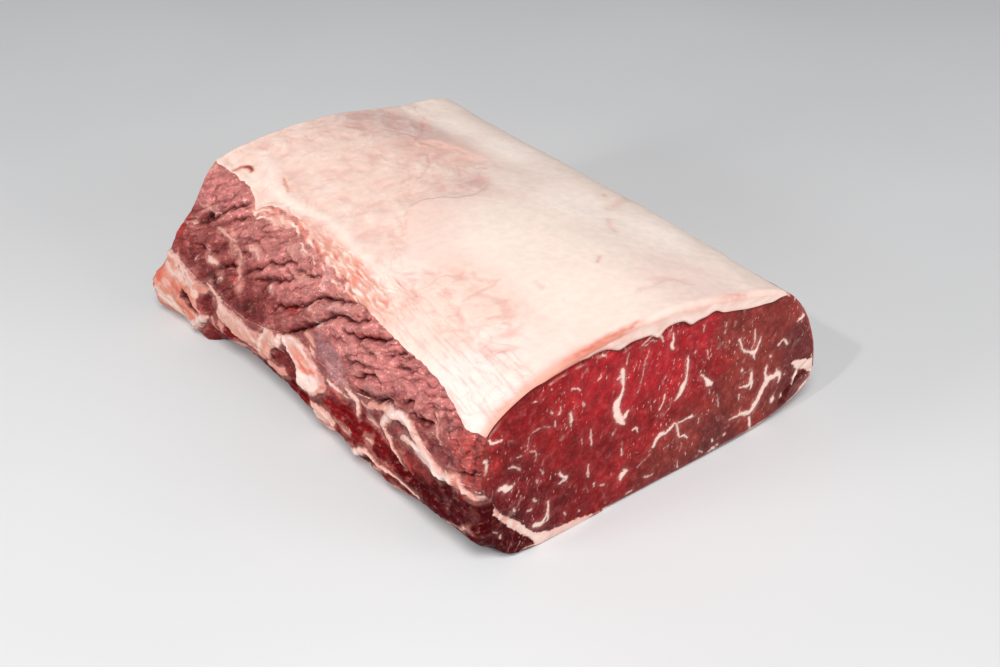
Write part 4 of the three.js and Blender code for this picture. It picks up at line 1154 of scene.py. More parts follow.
def side_surface(d, place):
    """The left side's points, moved by their relief and the rounding at both cuts, and their look."""
    point, inward = outline(d, place)
    look = side_look(d, point[:, 1])
    seam_height = outline(d, np.full(len(d), SEAM))[0][:, 1]
    below_seam = smoothstep(seam_height - point[:, 1], -4, 8) * smoothstep(point[:, 1], 2, 8)
    rounded = cut_inset(d, lerp(CUT_EDGE_RADIUS, CHAIN_EDGE_RADIUS, below_seam))
    fade = smoothstep(from_cut(d), 0, 3)
    depth = rounded + look.relief * lerp(0.35, 1, fade)
    return above_floor(point + inward * depth[:, None]), look


# --- The top of the fat, in (x, distance from the front) -----------------------------------------

# The top's colours of fat, each with its x and distance from the front. The brightest, at the right, are
# partly painted light.
TOP_TALLOW = [
    (20, 60, BRIGHT_FAT), (45, 100, SNOW_FAT), (10, 100, BRIGHT_FAT), (60, 60, SNOW_FAT),
    (60, 170, SNOW_FAT), (55, 215, SNOW_FAT), (30, 140, BRIGHT_FAT), (0, 20, BRIGHT_FAT),
    (35, 18, PALE_FAT), (-20, 40, BRIGHT_FAT), (-10, 80, BRIGHT_FAT), (60, 240, BRIGHT_FAT),
    (-66, 30, WHITE_FAT), (-62, 50, CREAM_FAT), (-72, 10, WHITE_FAT), (-68, 80, CREAM_FAT),
    (-58, 12, PALE_FAT), (-45, 60, CREAM_FAT), (-38, 45, CREAM_FAT), (-42, 85, CREAM_FAT),
    (-50, 100, PALE_FAT), (-52, 30, PALE_FAT), (-55, 130, CREAM_FAT), (-64, 130, CREAM_FAT),
    (-66, 150, CREAM_FAT), (-20, 150, CREAM_FAT), (0, 175, CREAM_FAT), (20, 160, CREAM_FAT),
    (22, 145, MAUVE_FAT), (28, 178, BLUSH_FAT), (34, 212, MAUVE_FAT), (-40, 165, CREAM_FAT),
    (-52, 185, CREAM_FAT), (-56, 160, BLUSH_FAT), (-52, 215, CREAM_FAT), (0, 210, CREAM_FAT),
    (-30, 205, CREAM_FAT), (-50, 232, CREAM_FAT), (20, 190, BLUSH_FAT), (36, 222, MAUVE_FAT),
    (20, 243, MAUVE_FAT), (-10, 240, CREAM_FAT), (-45, 246, CREAM_FAT), (68, 100, BRIGHT_FAT),
    (28, 20, PALE_FAT), (75, 40, BRIGHT_FAT), (72, 150, BRIGHT_FAT), (78, 210, BRIGHT_FAT),
]
TOP_MARKS = [
    # tint, strength, sink, half width, points (x, distance from the front)
    (ORANGE_FAT, 0.9, 1.8, 1.3, [(-57.6, 236), (-54, 235.6), (-51.6, 232.6), (-53, 228.4)]),
    (DEEP_LEAN, 0.8, 1.2, 1.1, [(-53, 234.4), (-51.4, 231.6), (-51.8, 229.6)]),
    (APRICOT_FAT, 0.8, 0.9, 0.7, [(-45, 210), (-47.4, 204), (-49, 199.6)]),
    (ORANGE_FAT, 0.5, 0.6, 0.9, [(-56, 188), (-57.4, 184.4), (-58.6, 182)]),
    (APRICOT_FAT, 0.5, 0.3, 1.5, [(25, 196.4), (26.6, 194.6)]),
    (APRICOT_FAT, 0.45, 0.4, 0.8, [(10.6, 47), (13.6, 48.4), (16.6, 52)]),
    (PINK_FAT, 0.35, 0.3, 0.9, [(-18.8, 46), (-18.6, 49), (-16.8, 52.6)]),
    (APRICOT_FAT, 0.5, 0.5, 0.8, [(65, 103.6), (67.6, 107.4)]),
    (APRICOT_FAT, 0.22, 0.4, 2.6, [(56, 90.6), (64, 95), (74, 99.4), (82, 105)]),
    (BLUSH_FAT, 0.5, 0.3, 1.8, [(39, 68), (42, 74), (47, 81)]),
    (ROSE_FAT, 0.5, 0.3, 1.2, [(-46, 45.6), (-43, 43)]),
    (ROSE_FAT, 0.45, 0.2, 0.8, [(-44.4, 38), (-43.6, 35)]),
    (ROSE_FAT, 0.5, 0.3, 1.6, [(-57.4, 29), (-54.6, 24.6)]),
    (PINK_FAT, 0.4, 0.2, 0.8, [(-46, 62.6), (-39, 63.4), (-32, 61.6), (-28, 64)]),
    (PINK_FAT, 0.35, 0.2, 1.0, [(-32, 76), (-33, 70), (-30, 65)]),
    (PINK_FAT, 0.3, 0.2, 1.2, [(8, 19.6), (18, 19.4), (26, 21), (33, 14)]),
    (PINK_FAT, 0.3, 0.2, 1.8, [(20, 24), (27, 22), (33, 18)]),
    (PINK_FAT, 0.3, 0.2, 0.8, [(-27, 141), (-30, 132), (-34, 124)]),
    (PINK_FAT, 0.35, 0.3, 0.8, [(22, 218), (28, 208), (26, 200)]),
    (PINK_FAT, 0.4, 0.3, 1.0, [(46, 226), (38, 214), (31, 206), (23, 200)]),
    (BLUSH_FAT, 0.6, 0.4, 2.4, [(18, 236), (14, 228), (8, 220)]),
    (PINK_FAT, 0.3, 0.3, 0.9, [(20, 184), (14, 174), (8, 168), (-4, 160)]),
]
WHITE_STRIP = [
    (-41, 237), (-45, 224), (-51, 210), (-54, 196), (-52, 180), (-49, 165), (-50, 150), (-53, 135),
    (-55, 118), (-57, 104), (-62, 88),
]
# Orange stretches of the front rim: (first x, last x, strength).
FLAMES = [(-46, -8, 0.85), (33, 50, 0.5)]
RIDGE = [(57, 8), (62, 18), (68, 30), (76, 40), (84, 46)]


def pared_share(x, d):
    """From 0 on the full fat to 1 where its outer layer is pared away, and how deep in there."""
    away = patch_depth(pairs(x, d) + drift(x / 5, d / 5, (91, 90)), PARED_COAST, 12.0)
    width = lerp(9.0, lerp(2.2, 8.0, smoothstep(x, 22, 30)), smoothstep(d, 100, 135))
    return smoothstep(away, -width / 2, width / 2), away


def fat_top_look(x, d):
    """The look of the top of the fat cap."""
    look = Look(len(x), fat=3.0)
    at = pairs(x, d)
    pared, away = pared_share(x, d)
    back = smoothstep(d, 105, 140)
    look.tallow = spread(at, TOP_TALLOW, (1, 1.3))
    look.relief = pared * along_roast(PARED_DEPTHS, d) * lerp(0.7, 1, smoothstep(away, 0, 9))
    add_pared_streaks(look, x, d, pared * back)
    add_pared_swirls(look, x, d, pared * (1 - back))
    coast = bell(away, 0.7) * smoothstep(d, 112, 135)
    coast = coast * smoothstep(noise(x / 7, d / 7, 89), -0.3, 0.4)
    look.tint_fat(PINK_FAT, 0.4 * coast)
    look.relief += 0.15 * coast
    add_top_form(look, at)
    look.vein = np.maximum(0.10, np.maximum(0.95 * pared * (1 - back), 0.55 * pared * back))
    add_torn_strands(look, x, d)
    white_strip = line_shade(at, WHITE_STRIP, 3.2, 9.0)
    look.tint_fat(BRIGHT_FAT, 0.8 * white_strip)
    look.relief -= 0.4 * white_strip
    add_front_rim(look, x, d)
    return look


def add_pared_streaks(look, x, d, pared):
    """Slanting pink and pale streaks in the back part of the pared fat."""
    streak_along, streak_across = 0.6 * x + 0.8 * d, 0.8 * x - 0.6 * d
    bent = streak_across + 5 * noise(streak_along / 26, streak_across / 20, 92)
    streaks = fractal(bent / 9, streak_along / 15, 4, 93)
    fine_streaks = fractal(bent / 2.6, streak_along / 6, 2, 94)
    look.relief += pared * (0.32 * streaks + 0.12 * fine_streaks)
    look.tint_fat(PINK_FAT, 0.34 * pared * smoothstep(streaks, 0.0, 0.9))
    look.tint_fat(BRIGHT_FAT, 0.4 * pared * smoothstep(-streaks, 0.1, 0.8))
    look.tint_fat(BLUSH_FAT, 0.35 * pared * smoothstep(fine_streaks, 0.1, 0.9))


def add_pared_swirls(look, x, d, pared):
    """Pink swirls in the front part of the pared fat, and fine fibres at its left."""
    swirl_x = x + 7 * noise(x / 24, d / 24, 95)
    swirl_d = d + 7 * noise(x / 24, d / 24, 96)
    swirls = fractal(swirl_x / 6, swirl_d / 13, 4, 97)
    look.relief += 0.25 * pared * swirls
    look.tint_fat(PINK_FAT, 0.42 * pared * smoothstep(swirls, 0.0, 0.8) * smoothstep(x, -66, -56))
    fibre = fractal((x - 0.16 * d) / 1.1, d / 16, 2, 98)
    fibre = fibre * smoothstep(-x, 50, 60) * smoothstep(130 - d, 0, 20)
    look.relief += 0.16 * fibre
    look.tint_fat(MAUVE_FAT, 0.75 * smoothstep(fibre, 0.0, 0.6))


def add_top_form(look, at):
    """The top's gentle swells, the ridge and folds at its right, and its drawn marks."""
    x, d = at.T
    look.relief += 0.5 * fractal(x / 46, d / 60, 2, 99) + 0.10 * fractal(x / 9, d / 12, 2, 100)
    look.relief -= 0.5 * line_shade(at, RIDGE, 5.0, 14.0)
    fold = np.sin((x * 0.6 - d * 0.75) / 7.5) * bell(x - 66, 16, d - 70, 22)
    look.relief += 0.30 * fold
    loose = at + 0.9 * drift(x / 3, d / 4, (87, 88))
    for tint, strength, sink, width, points in TOP_MARKS:
        mark = line_shade(loose, points, width, 8.0)
        look.relief += sink * mark
        look.tint_fat(tint, strength * mark)
    look.relief -= 1.4 * smoothstep(d, 225, 252) * smoothstep(x, 30, 50)


def add_torn_strands(look, x, d):
    """The torn strands along the left edge: apricot and orange between bright ones."""
    torn = smoothstep(-x + 5 * noise(d / 14, x / 9, 104), 50, 62) * smoothstep(d, 68, 100)
    torn *= smoothstep(205 - d, 0, 40)
    strand = fractal((x - 0.14 * d + 1.6 * noise(x / 5, d / 8, 105)) / 1.4, d / 8, 3, 103)
    bare = 1 - smoothstep(strand, -0.5, 0.4)
    look.tint_fat(APRICOT_FAT, torn * (0.34 + 0.5 * bare))
    fiery = bare * smoothstep(noise(x / 6, d / 14, 108), 0.0, 0.6)
    look.tint_fat(FLAME_FAT, 0.85 * torn * fiery)
    look.tint_fat(BRIGHT_FAT, 0.8 * torn * smoothstep(strand, 0.25, 0.7))
    look.relief += 0.45 * torn * bare


def add_front_rim(look, x, d):
    """The colours where the top rolls over into the front cut."""
    look.tint_fat(BLUSH_FAT, 0.55 * np.exp(-d / 2.2))
    reach = 2.0 + 1.2 * smoothstep(-x, 20, 40) + 0.8 * noise(x / 7, 0 * x, 86)
    rim = bell(d, reach) * smoothstep(-x, 8, 22)
    look.tint_fat(APRICOT_FAT, 0.8 * rim)
    for low, high, strength in FLAMES:
        flame = smoothstep(x, low - 6, low + 12) * smoothstep(high + 6 - x, 0, 8) * strength
        flame = flame * bell(d - 0.9 - 0.6 * noise(x / 4, 0 * x, 107), 1.2)
        flame *= 0.7 + 0.5 * noise(x / 3, d, 109)
        look.tint_fat(ORANGE_FAT, np.clip(flame, 0, 0.9))
        look.relief += 0.3 * flame


def fat_top_surface(d, place):
    """The top's points and their look. The relief never reaches through the fat."""
    point, inward = outline(d, place)
    look = fat_top_look(point[:, 0], d)
    from_edge = np.maximum(place - edge_place(d), 0) * TOP_PLACE_LENGTH
    thin = fat_thickness(d, place)
    rim = 0.3 * np.exp(-from_edge / 1.2)
    limit = np.minimum(0.62 * thin, 4.5)
    depth = np.minimum(np.maximum(look.relief, -1.8) * smoothstep(from_edge, 0, 5) + rim, limit)
    inset = np.minimum(cut_inset(d, FAT_EDGE_RADIUS), 0.8 * thin)
    depth = np.minimum(depth * smoothstep(from_cut(d), -2, 3) + inset, 0.85 * thin)
    return point + inward * depth[:, None], look


def seam_surface(d, place):
    """The seam's outside: a hair lower than its neighbours, whose edges it passes under."""
    _, inward = outline(d, place)
    point, look = side_surface(d, place)
    return point + 0.1 * inward * smoothstep(point[:, 1], 0, 1)[:, None], look


# --- Surfaces that the camera of the photograph doesn't see --------------------------------------

RIGHT_LEAN = colour(150, 62, 60)
BASE_LEAN = colour(128, 50, 50)


def right_look(d, across):
    """The trimmed right side: lean under patches of thin membrane, with streaks of fat along it."""
    look = Look(len(d), lean=RIGHT_LEAN)
    bent = across + 3 * noise(d / 22, across / 14, 111)
    swell = fractal(d / 30, bent / 9, 3, 112)
    fibres = fractal(d / 14, bent / 1.8, 2, 118)
    look.relief = 0.7 * swell + 0.2 * fibres
    crease = cusps(noise(d / 30, bent / 7, 114), 0.16)
    crease = crease * smoothstep(noise(d / 24, across / 10, 119), -0.3, 0.3)
    look.relief += 0.8 * crease
    # Painted shade in the creases.
    look.shade = 0.5 * crease
    look.relief = look.relief * smoothstep(across, 2, 18) + 0.45 * decay(across, 5)
    film = smoothstep(fractal(d / 40, bent / 12, 2, 115), 0.0, 0.5)
    look.lean = mixed(look.lean, SILVERSKIN, 0.5 * film) * (1 + 0.15 * swell + 0.14 * fibres)[:, None]
    look.wet = film
    streaks = fractal((d + 0.4 * across) / 20, bent / 3.4, 3, 116)
    fat = 2.6 * streaks - 1.9 + 0.9 * noise(d / 40, across / 14, 117)
    fringe = 1.6 * fractal(d / 9, across / 3, 2, 120) + 0.7 - across / 3.5
    tint = mixed(ROSE_FAT, CREAM_FAT, smoothstep(streaks, 0.2, 0.9))
    look.add_fat(np.maximum(fat, fringe), tint, 0.3)
    return look


def tail_fat_look(d, across):
    """The fat outside the tail: the right side's form, covered in fat that is bare in streaks."""
    look = right_look(d, across)
    bare = fractal((d + across) / 18, across / 4, 3, 125)
    look.fat = 1.6 - 2.6 * smoothstep(bare, 0.35, 0.8)
    look.tallow = mixed(CREAM_FAT, ROSE_FAT, smoothstep(bare, -0.6, 0.5))
    # Less painted shade where the fat covers the creases.
    look.shade = 0.3 * look.shade
    return look


def base_look(d, across):
    """The underside: lean, flat where it lies, with thin fat and membrane."""
    look = Look(len(d), lean=BASE_LEAN)
    bent = across + 6 * noise(d / 30, across / 30, 121)
    swell = fractal(d / 24, bent / 12, 3, 122)
    film = smoothstep(fractal(d / 45, bent / 20, 2, 123), -0.1, 0.5)
    look.lean = mixed(look.lean, SILVERSKIN, 0.5 * film) * (1 + 0.15 * swell)[:, None]
    look.add_fat(2.4 * fractal(d / 34, bent / 15, 3, 124) - 0.6, CREAM_FAT, 0.0)
    look.relief = 0.25 + 0.25 * np.clip(swell, -1, 1)
    look.wet = film
    return look


def outer_surface(d, place, look_of):
    """The points of the right side or the underside, moved by their relief, and their look."""
    point, inward = outline(d, place)
    across = (place - FAT_RIGHT) * RIGHT_PLACE_LENGTH
    look = look_of(d, across)
    ends = smoothstep(from_cut(d), 0, 3)
    depth = cut_inset(d, CUT_EDGE_RADIUS) + look.relief * lerp(0.3, 1, ends)
    return above_floor(point + inward * depth[:, None]), look


def right_surface(d, place):
    return outer_surface(d, place, right_look)


def base_surface(d, place):
    return outer_surface(d, place, base_look)


def tail_fat_surface(d, place):
    return outer_surface(d, place, tail_fat_look)


def tail_place(shape, aside=0.0):
    """Where a face of the tail meets the right side; it wanders between the cut faces."""
    def place(d):
        inner = smoothstep(from_cut(d), 0, 12)
        return shape["top"] + 0.06 * inner * noise(d / 16, 0 * d, 126) + aside

    return place


# --- Stretches of a cross-section ----------------------------------------------------------------


def bezier(start, bend, end, share, side):
    """Points on a curve bent towards one point, moved half a gap to one side."""
    share = share[:, None]
    point = (1 - share) ** 2 * start + 2 * share * (1 - share) * bend + share**2 * end
    tangent = 2 * (1 - share) * (bend - start) + 2 * share * (end - bend)
    tangent /= np.linalg.norm(tangent, axis=1, keepdims=True)
    return above_floor(point + side * GAP / 2 * pairs(-tangent[:, 1], tangent[:, 0]))


def sampled(values, d):
    """Rows of numbers given at SAMPLES, read off at d."""
    return np.stack([np.interp(d, SAMPLES, column) for column in values.T], -1)


SEAM_STARTS = {
    "upper": side_surface(SAMPLES, UPPER_PLACES)[0],
    "lower": side_surface(SAMPLES, LOWER_PLACES)[0],
}


def seam_curve(which, side, backwards=False):
    """One face of the seam fat, from the left side down to the base, or back up."""
    shape, seed = (SEAM_EYE_SIDE, 131) if which == "upper" else (SEAM_CHAIN_SIDE, 132)

    def stretch(share, d):
        t = d / LENGTH
        share = 1 - share if backwards else share
        bend = pairs(lerp(*shape["bend_x"], t), lerp(*shape["bend_z"], t))
        end = pairs(lerp(*shape["base"], t), 0 * t)
        point = bezier(sampled(SEAM_STARTS[which], d), bend, end, share, side)
        point[:, 1] += 0.9 * np.sin(share * math.pi) * noise(point[:, 0] / 7, d / 30, seed)
        return above_floor(point), membrane(len(d))

    return stretch


def tail_curve(shape, side, backwards=False):
    """One face of the tail inside the roast, from the right side down to the base, or back up."""
    def stretch(share, d):
        share = 1 - share if backwards else share
        start = right_surface(d, tail_place(shape)(d))[0]
        end = base_surface(d, np.full(len(d), shape["bottom"]))[0]
        return bezier(start, np.array(shape["bend"], float), end, share, side), None

    return stretch


def outer(surface, start, end):
    """A stretch of the outside between two places, each a number or a function of d."""
    def stretch(share, d):
        low = start(d) if callable(start) else start
        high = end(d) if callable(end) else end
        return surface(d, lerp(low, high, share))

    return stretch


def membrane(count):
    """The look of a face between two pieces, which may show in the slit between them."""
    return Look(count, tallow=BLUSH_FAT, fat=1.0)


def under_fat(deeper, backwards=False):
    """The fat cap's underside, or the face of the eye muscle that lies against it."""
    def stretch(share, d):
        share = 1 - share if backwards else share
        return fat_bottom(d, lerp(edge_place(d), fat_end(d), share), deeper), membrane(len(d))

    return stretch


def base_line(start, end):
    """A straight stretch of the underside between two x values, given at the front and the back."""
    def stretch(share, d):
        t = d / LENGTH
        x = lerp(lerp(*start, t), lerp(*end, t), share)
        look = base_look(d, x)
        return pairs(x, look.relief * np.sin(share * math.pi) * smoothstep(d, 0, 3)), look

    return stretch


def chain_base(share, d):
    """The chain's underside, from the seam's foot to the foot of the side."""
    start = lerp(*SEAM_CHAIN_SIDE["base"], d / LENGTH)
    foot = side_surface(d, np.full(len(d), BASE_LEFT))[0]
    x = lerp(start, foot[:, 0], share)
    look = base_look(d, x)
    lift = look.relief * np.sin(share * math.pi) * smoothstep(d, 0, 3)
    return pairs(x, lift + foot[:, 1] * share), look


def seam_place(which, aside):
    """Where the seam's upper or lower line lies on the outline, moved aside a little."""
    places = UPPER_PLACES if which == "upper" else LOWER_PLACES
    return lambda d: np.interp(d, SAMPLES, places) + aside


# --- Building a piece ----------------------------------------------------------------------------

LOOK_FIELDS = ("lean", "tallow", "fat", "shade", "cut", "wet", "vein")
MUSCLE_ROWS = 497
FAT_ROWS = 329
FINE_END_ROWS = 16
SOFT_ROWS = 7  # the rows that lie close together at each soft edge
COLUMN, FINE_ROW, SHARE, ROW, STRETCH = range(5)  # what a row of a tube's grid says
# The layout for baking: the tube's grid, and at its right a strip that holds the two cut faces.
CUT_STRIP = 260.0
CUT_FACE_LEFT = 110
CUT_FACE_WIDTH = 230
CUT_FACE_HEIGHT = 95


def row_distances(count):
    """Distances from the front: close together at both soft edges, then even."""
    near = np.array([0, 0.06, 0.2, 0.42, 0.7, 1.05, 1.5])
    middle = np.linspace(2.0, LENGTH - 2.0, count - 2 * len(near))
    return np.concatenate([near, middle, LENGTH - near[::-1]])


def near_faces(rows, row):
    """A coarser mesh the further a hidden stretch is from the cut faces."""
    from_back = rows - 1 - row
    level = np.full(row.shape, 3)
    # Each level, and how many rows from the front and from the back it reaches.
    for value, first, last in ((2, 40, 24), (1, 14, 6), (0, 4, 0)):
        level = np.where((row <= first) | (from_back < last), value, level)
    return level


def tube_grid(stretches, rows, rng):
    """The kept points of a piece's grid: columns run round it and rows along it. Inner points are
    moved a little at random, so that the triangles have no even pattern."""
    kept, start = [], 0
    for columns, _, coarse in stretches:
        column, row = np.meshgrid(np.arange(columns + 1), np.arange(rows), indexing="ij")
        column, row = column.ravel(), row.ravel()
        level = near_faces(rows, row) if coarse == "hidden" else coarse(column / columns, row)
        step = 2 ** np.asarray(level)
        keep = ((column % step == 0) | (column == columns)) & ((row % step == 0) | (row == rows - 1))
        column, row, step = column[keep], row[keep], step[keep]
        inner = (column > 0) & (column < columns) & (row >= SOFT_ROWS) & (row < rows - SOFT_ROWS)
        shift = rng.uniform(-0.3, 0.3, (2, len(column))) * step * inner
        share, fine_row = (column + shift[0]) / columns, row + shift[1]
        index = np.full(len(column), len(kept))
        kept.append(np.stack([column + shift[0] + start, fine_row, share, row, index], -1))
        start += columns + 1
    return np.concatenate(kept), start


def triangulate(points, loop=None):
    """Delaunay triangles of 2-D points, inside a closed loop of them if one is given."""
    edges = [] if loop is None else [(loop[i], loop[(i + 1) % len(loop)]) for i in range(len(loop))]
    mode = 0 if loop is None else 1
    found = delaunay_2d_cdt([tuple(p) for p in points.tolist()], edges, [], mode, 1e-6)
    back = np.array([ids[0] if ids else -1 for ids in found[3]])
    faces = np.array([back[list(face)] for face in found[2] if len(face) == 3])
    return faces[(faces >= 0).all(1)]


def inside_loop(points, loop):
    """Which points lie inside a closed loop."""
    x, z = points.T
    inside = np.zeros(len(points), bool)
    for (x1, z1), (x2, z2) in zip(loop, np.roll(loop, -1, 0)):
        if z1 != z2:
            crosses = (z1 > z) != (z2 > z)
            inside ^= crosses & (x < x1 + (z - z1) / (z2 - z1) * (x2 - x1))
    return inside


def loop_distance(points, loop):
    """How far points lie from a closed loop."""
    line = np.column_stack([np.vstack([loop, loop[:1]]), np.zeros(len(loop) + 1)])
    _, distance, _ = nearest_on(points, line, FAR)
    return distance


def face_points(loop, spacing, strokes, rng):
    """Points inside a cut face: an even spread, and rows along the marbling's edges."""
    low, high = loop.min(0), loop.max(0)
    count = ((high - low) / spacing * np.array([1, 1.1547])).astype(int) + 1
    column, row = np.meshgrid(np.arange(count[0]), np.arange(count[1]))
    hexes = pairs(column + 0.5 * (row % 2), row / 1.1547).reshape(-1, 2) * spacing + low
    hexes += rng.uniform(-0.18, 0.18, hexes.shape) * spacing
    marks = []
    for points, widths in strokes:
        widths = np.resize(np.asarray(widths, float), len(points))
        line = smooth_route(np.column_stack([points, widths / 2]), 6)
        step = np.gradient(line[:, :2], axis=0)
        normal = pairs(-step[:, 1], step[:, 0])
        normal /= np.maximum(np.linalg.norm(normal, axis=1, keepdims=True), 1e-6)
        for offset in (-line[:, 2] - 0.2, 0 * line[:, 2], line[:, 2] + 0.2):
            marks.append(line[:, :2] + normal * offset[:, None])
    points = np.vstack([hexes, *marks]) if marks else hexes
    points = points[inside_loop(points, loop)]
    return points[loop_distance(points, loop) > 0.45 * spacing]


def tube_points(grid, stretches, rows, proud):
    """The tube's points as x and z, their look, and their y. Its ends may stand proud at the front."""
    d = np.interp(grid[:, FINE_ROW], np.arange(rows), row_distances(rows))
    point, look = np.zeros((len(grid), 2)), Look(len(grid))
    for index, (_, stretch, _) in enumerate(stretches):
        mine = np.flatnonzero(grid[:, STRETCH] == index)
        point[mine], seen = stretch(grid[mine, SHARE], d[mine])
        if seen is not None:
            look.put(mine, seen)
    stretch_out = proud * (np.clip(1 - d / 4, 0, 1) - np.clip(1 - (LENGTH - d) / 4, 0, 1))
    return point, look, d - HALF_LENGTH - stretch_out


def tube_skin(grid, columns):
    """The tube's layout, closed by a copy of its first column, and its triangles there and in the mesh."""
    first = np.flatnonzero(grid[:, COLUMN] == 0)
    copied = np.column_stack([np.full(len(first), columns), grid[first, FINE_ROW]])
    layout = np.vstack([grid[:, [COLUMN, FINE_ROW]], copied])
    triangles = triangulate(layout)
    wrap = np.concatenate([np.arange(len(grid)), first])
    return layout, triangles, wrap[triangles]


def cut_layout(flat, end, columns, rows):
    """Where the points of a cut face lie in the layout."""
    scale = [CUT_STRIP / CUT_FACE_WIDTH, rows / 2 / CUT_FACE_HEIGHT]
    return (flat + [CUT_FACE_LEFT, 0]) * scale + [columns, end * rows / 2]


class Blocks:
    """The parts of a piece's mesh: its tube, then its front cut face and its back one."""

    def __init__(self):
        self.vertices, self.faces, self.looks = [], [], []
        self.layout, self.layout_faces = [], []

    def add(self, vertices, faces, look, layout, layout_faces):
        self.layout_faces.append(layout_faces + sum(map(len, self.layout)))
        self.layout.append(layout)
        self.vertices.append(vertices)
        self.faces.append(faces)
        self.looks.append(look)


def build_piece(name, stretches, spacing, strokes, seed, rows=MUSCLE_ROWS,
                face_looks=(front_look, back_look), proud=0.0):
    """One closed mesh: the tube of a piece's cross-sections and the cut faces at its ends."""
    rng = np.random.default_rng(seed)
    grid, columns = tube_grid(stretches, rows, rng)
    point, look, y = tube_points(grid, stretches, rows, proud)
    layout, layout_faces, faces = tube_skin(grid, columns)
    hidden = np.array([coarse == "hidden" for _, _, coarse in stretches])
    blocks = Blocks()
    blocks.add(np.column_stack([point[:, 0], y, point[:, 1]]), faces, look, layout, layout_faces)
    for end, row in enumerate((0, rows - 1)):
        ring = np.flatnonzero(grid[:, ROW] == row)
        ring = ring[np.argsort(grid[ring, COLUMN])]
        loop = point[ring]
        inner = face_points(loop, spacing[end], strokes[end], rng)
        seen, rim = face_looks[end](*inner.T), face_looks[end](*loop.T)
        unseen = hidden[grid[ring, STRETCH].astype(int)]
        for key in LOOK_FIELDS:
            getattr(look, key)[ring[unseen]] = getattr(rim, key)[unseen]
        into = 1 if end == 0 else -1
        fade = smoothstep(loop_distance(inner, loop), 0, 2.0)
        face_y = y[ring].mean() + into * seen.relief * fade
        flat = np.vstack([loop, inner])
        triangles = triangulate(flat, list(range(len(ring))))
        ids = np.concatenate([ring, sum(map(len, blocks.vertices)) + np.arange(len(inner))])
        blocks.add(np.column_stack([inner[:, 0], face_y, inner[:, 1]]), ids[triangles], seen,
                   cut_layout(flat, end, columns, rows), triangles)
    return finished(name, blocks, [columns + CUT_STRIP, rows])


def finished(name, blocks, layout_size):
    """The mesh of a piece's blocks, with its faces turned outwards."""
    vertices, faces = np.vstack(blocks.vertices), np.vstack(blocks.faces)
    uv, uv_faces = np.vstack(blocks.layout) / layout_size, np.vstack(blocks.layout_faces)
    faces, uv_faces = oriented(vertices, faces, uv_faces, len(blocks.faces[0]), len(blocks.faces[1]))
    return make_mesh(name, vertices, faces, uv[uv_faces], blocks.looks)


def oriented(vertices, faces, uv_faces, tube_count, front_count):
    """Faces turned outwards: the cut faces by which way they look, and the tube by its volume."""
    corners = vertices[faces]
    normal = np.cross(corners[:, 1] - corners[:, 0], corners[:, 2] - corners[:, 0])
    flip = np.zeros(len(faces), bool)
    front = slice(tube_count, tube_count + front_count)
    back = slice(tube_count + front_count, None)
    flip[front] = normal[front, 1] > 0
    flip[back] = normal[back, 1] < 0
    tube = corners[:tube_count] - corners[:tube_count].mean((0, 1))
    radial = tube.mean(1)
    outward = (normal[:tube_count, [0, 2]] * radial[:, [0, 2]]).sum()
    flip[:tube_count] = outward < 0
    faces[flip] = faces[flip][:, ::-1]
    uv_faces[flip] = uv_faces[flip][:, ::-1]
    return faces, uv_faces


def make_mesh(name, vertices, faces, uv, looks):
    """A mesh object that carries its look as attributes."""
    mesh = bpy.data.meshes.new(name)
    mesh.vertices.add(len(vertices))
    mesh.vertices.foreach_set("co", (vertices * METRES).astype(np.float32).ravel())
    mesh.loops.add(faces.size)
    mesh.loops.foreach_set("vertex_index", faces.astype(np.int32).ravel())
    mesh.polygons.add(len(faces))
    mesh.polygons.foreach_set("loop_start", np.arange(0, faces.size, 3, dtype=np.int32))
    mesh.update(calc_edges=True)
    mesh.polygons.foreach_set("use_smooth", np.ones(len(faces), bool))
    for key in LOOK_FIELDS:
        values = np.concatenate([getattr(look, key) for look in looks])
        if values.ndim == 2:
            layer = mesh.attributes.new(key, "FLOAT_COLOR", "POINT")
            rgba = np.column_stack([np.clip(values, 0, 1), np.ones(len(values))])
            layer.data.foreach_set("color", rgba.astype(np.float32).ravel())
        else:
            layer = mesh.attributes.new(key, "FLOAT", "POINT")
            layer.data.foreach_set("value", values.astype(np.float32))
    layer = mesh.uv_layers.new(name="OFBake")
    layer.uv.foreach_set("vector", uv.astype(np.float32).ravel())
    mesh.set_sharp_from_angle(angle=math.radians(58))
    mesh.validate()
    piece = bpy.data.objects.new(name, mesh)
    bpy.context.scene.collection.objects.link(piece)
    return piece


def everywhere(level):
    """The same coarseness all over a stretch: each level halves the grid once more."""
    return lambda share, row: np.full(row.shape, level)


def fat_level(share, row):
    """The plain raised fat needs a coarser mesh than the pared fat beside it."""
    d = np.interp(row, np.arange(FAT_ROWS), row_distances(FAT_ROWS))
    place = lerp(edge_place(d), FAT_RIGHT, share)
    x = outline(d, place)[0][:, 0]
    _, away = pared_share(x, d)
    near_end = (row < FINE_END_ROWS) | (row >= FAT_ROWS - FINE_END_ROWS)
    near_right_edge = share > 0.93
    return np.where((away > -8) | near_end | near_right_edge, 0, 1)


def side_top(d):
    """The fat's left edge, counted on round the outline from the seam."""
    return edge_place(d) + FULL_TURN


def below_fat_end(d):
    return fat_end(d) + 2 * ASIDE


ASIDE = 0.01  # how far a piece's edge keeps from a shared line, in places on the outline
INNER_FOOT = OUTLINE["base_inner"][0][::3]  # x at the front and at the back

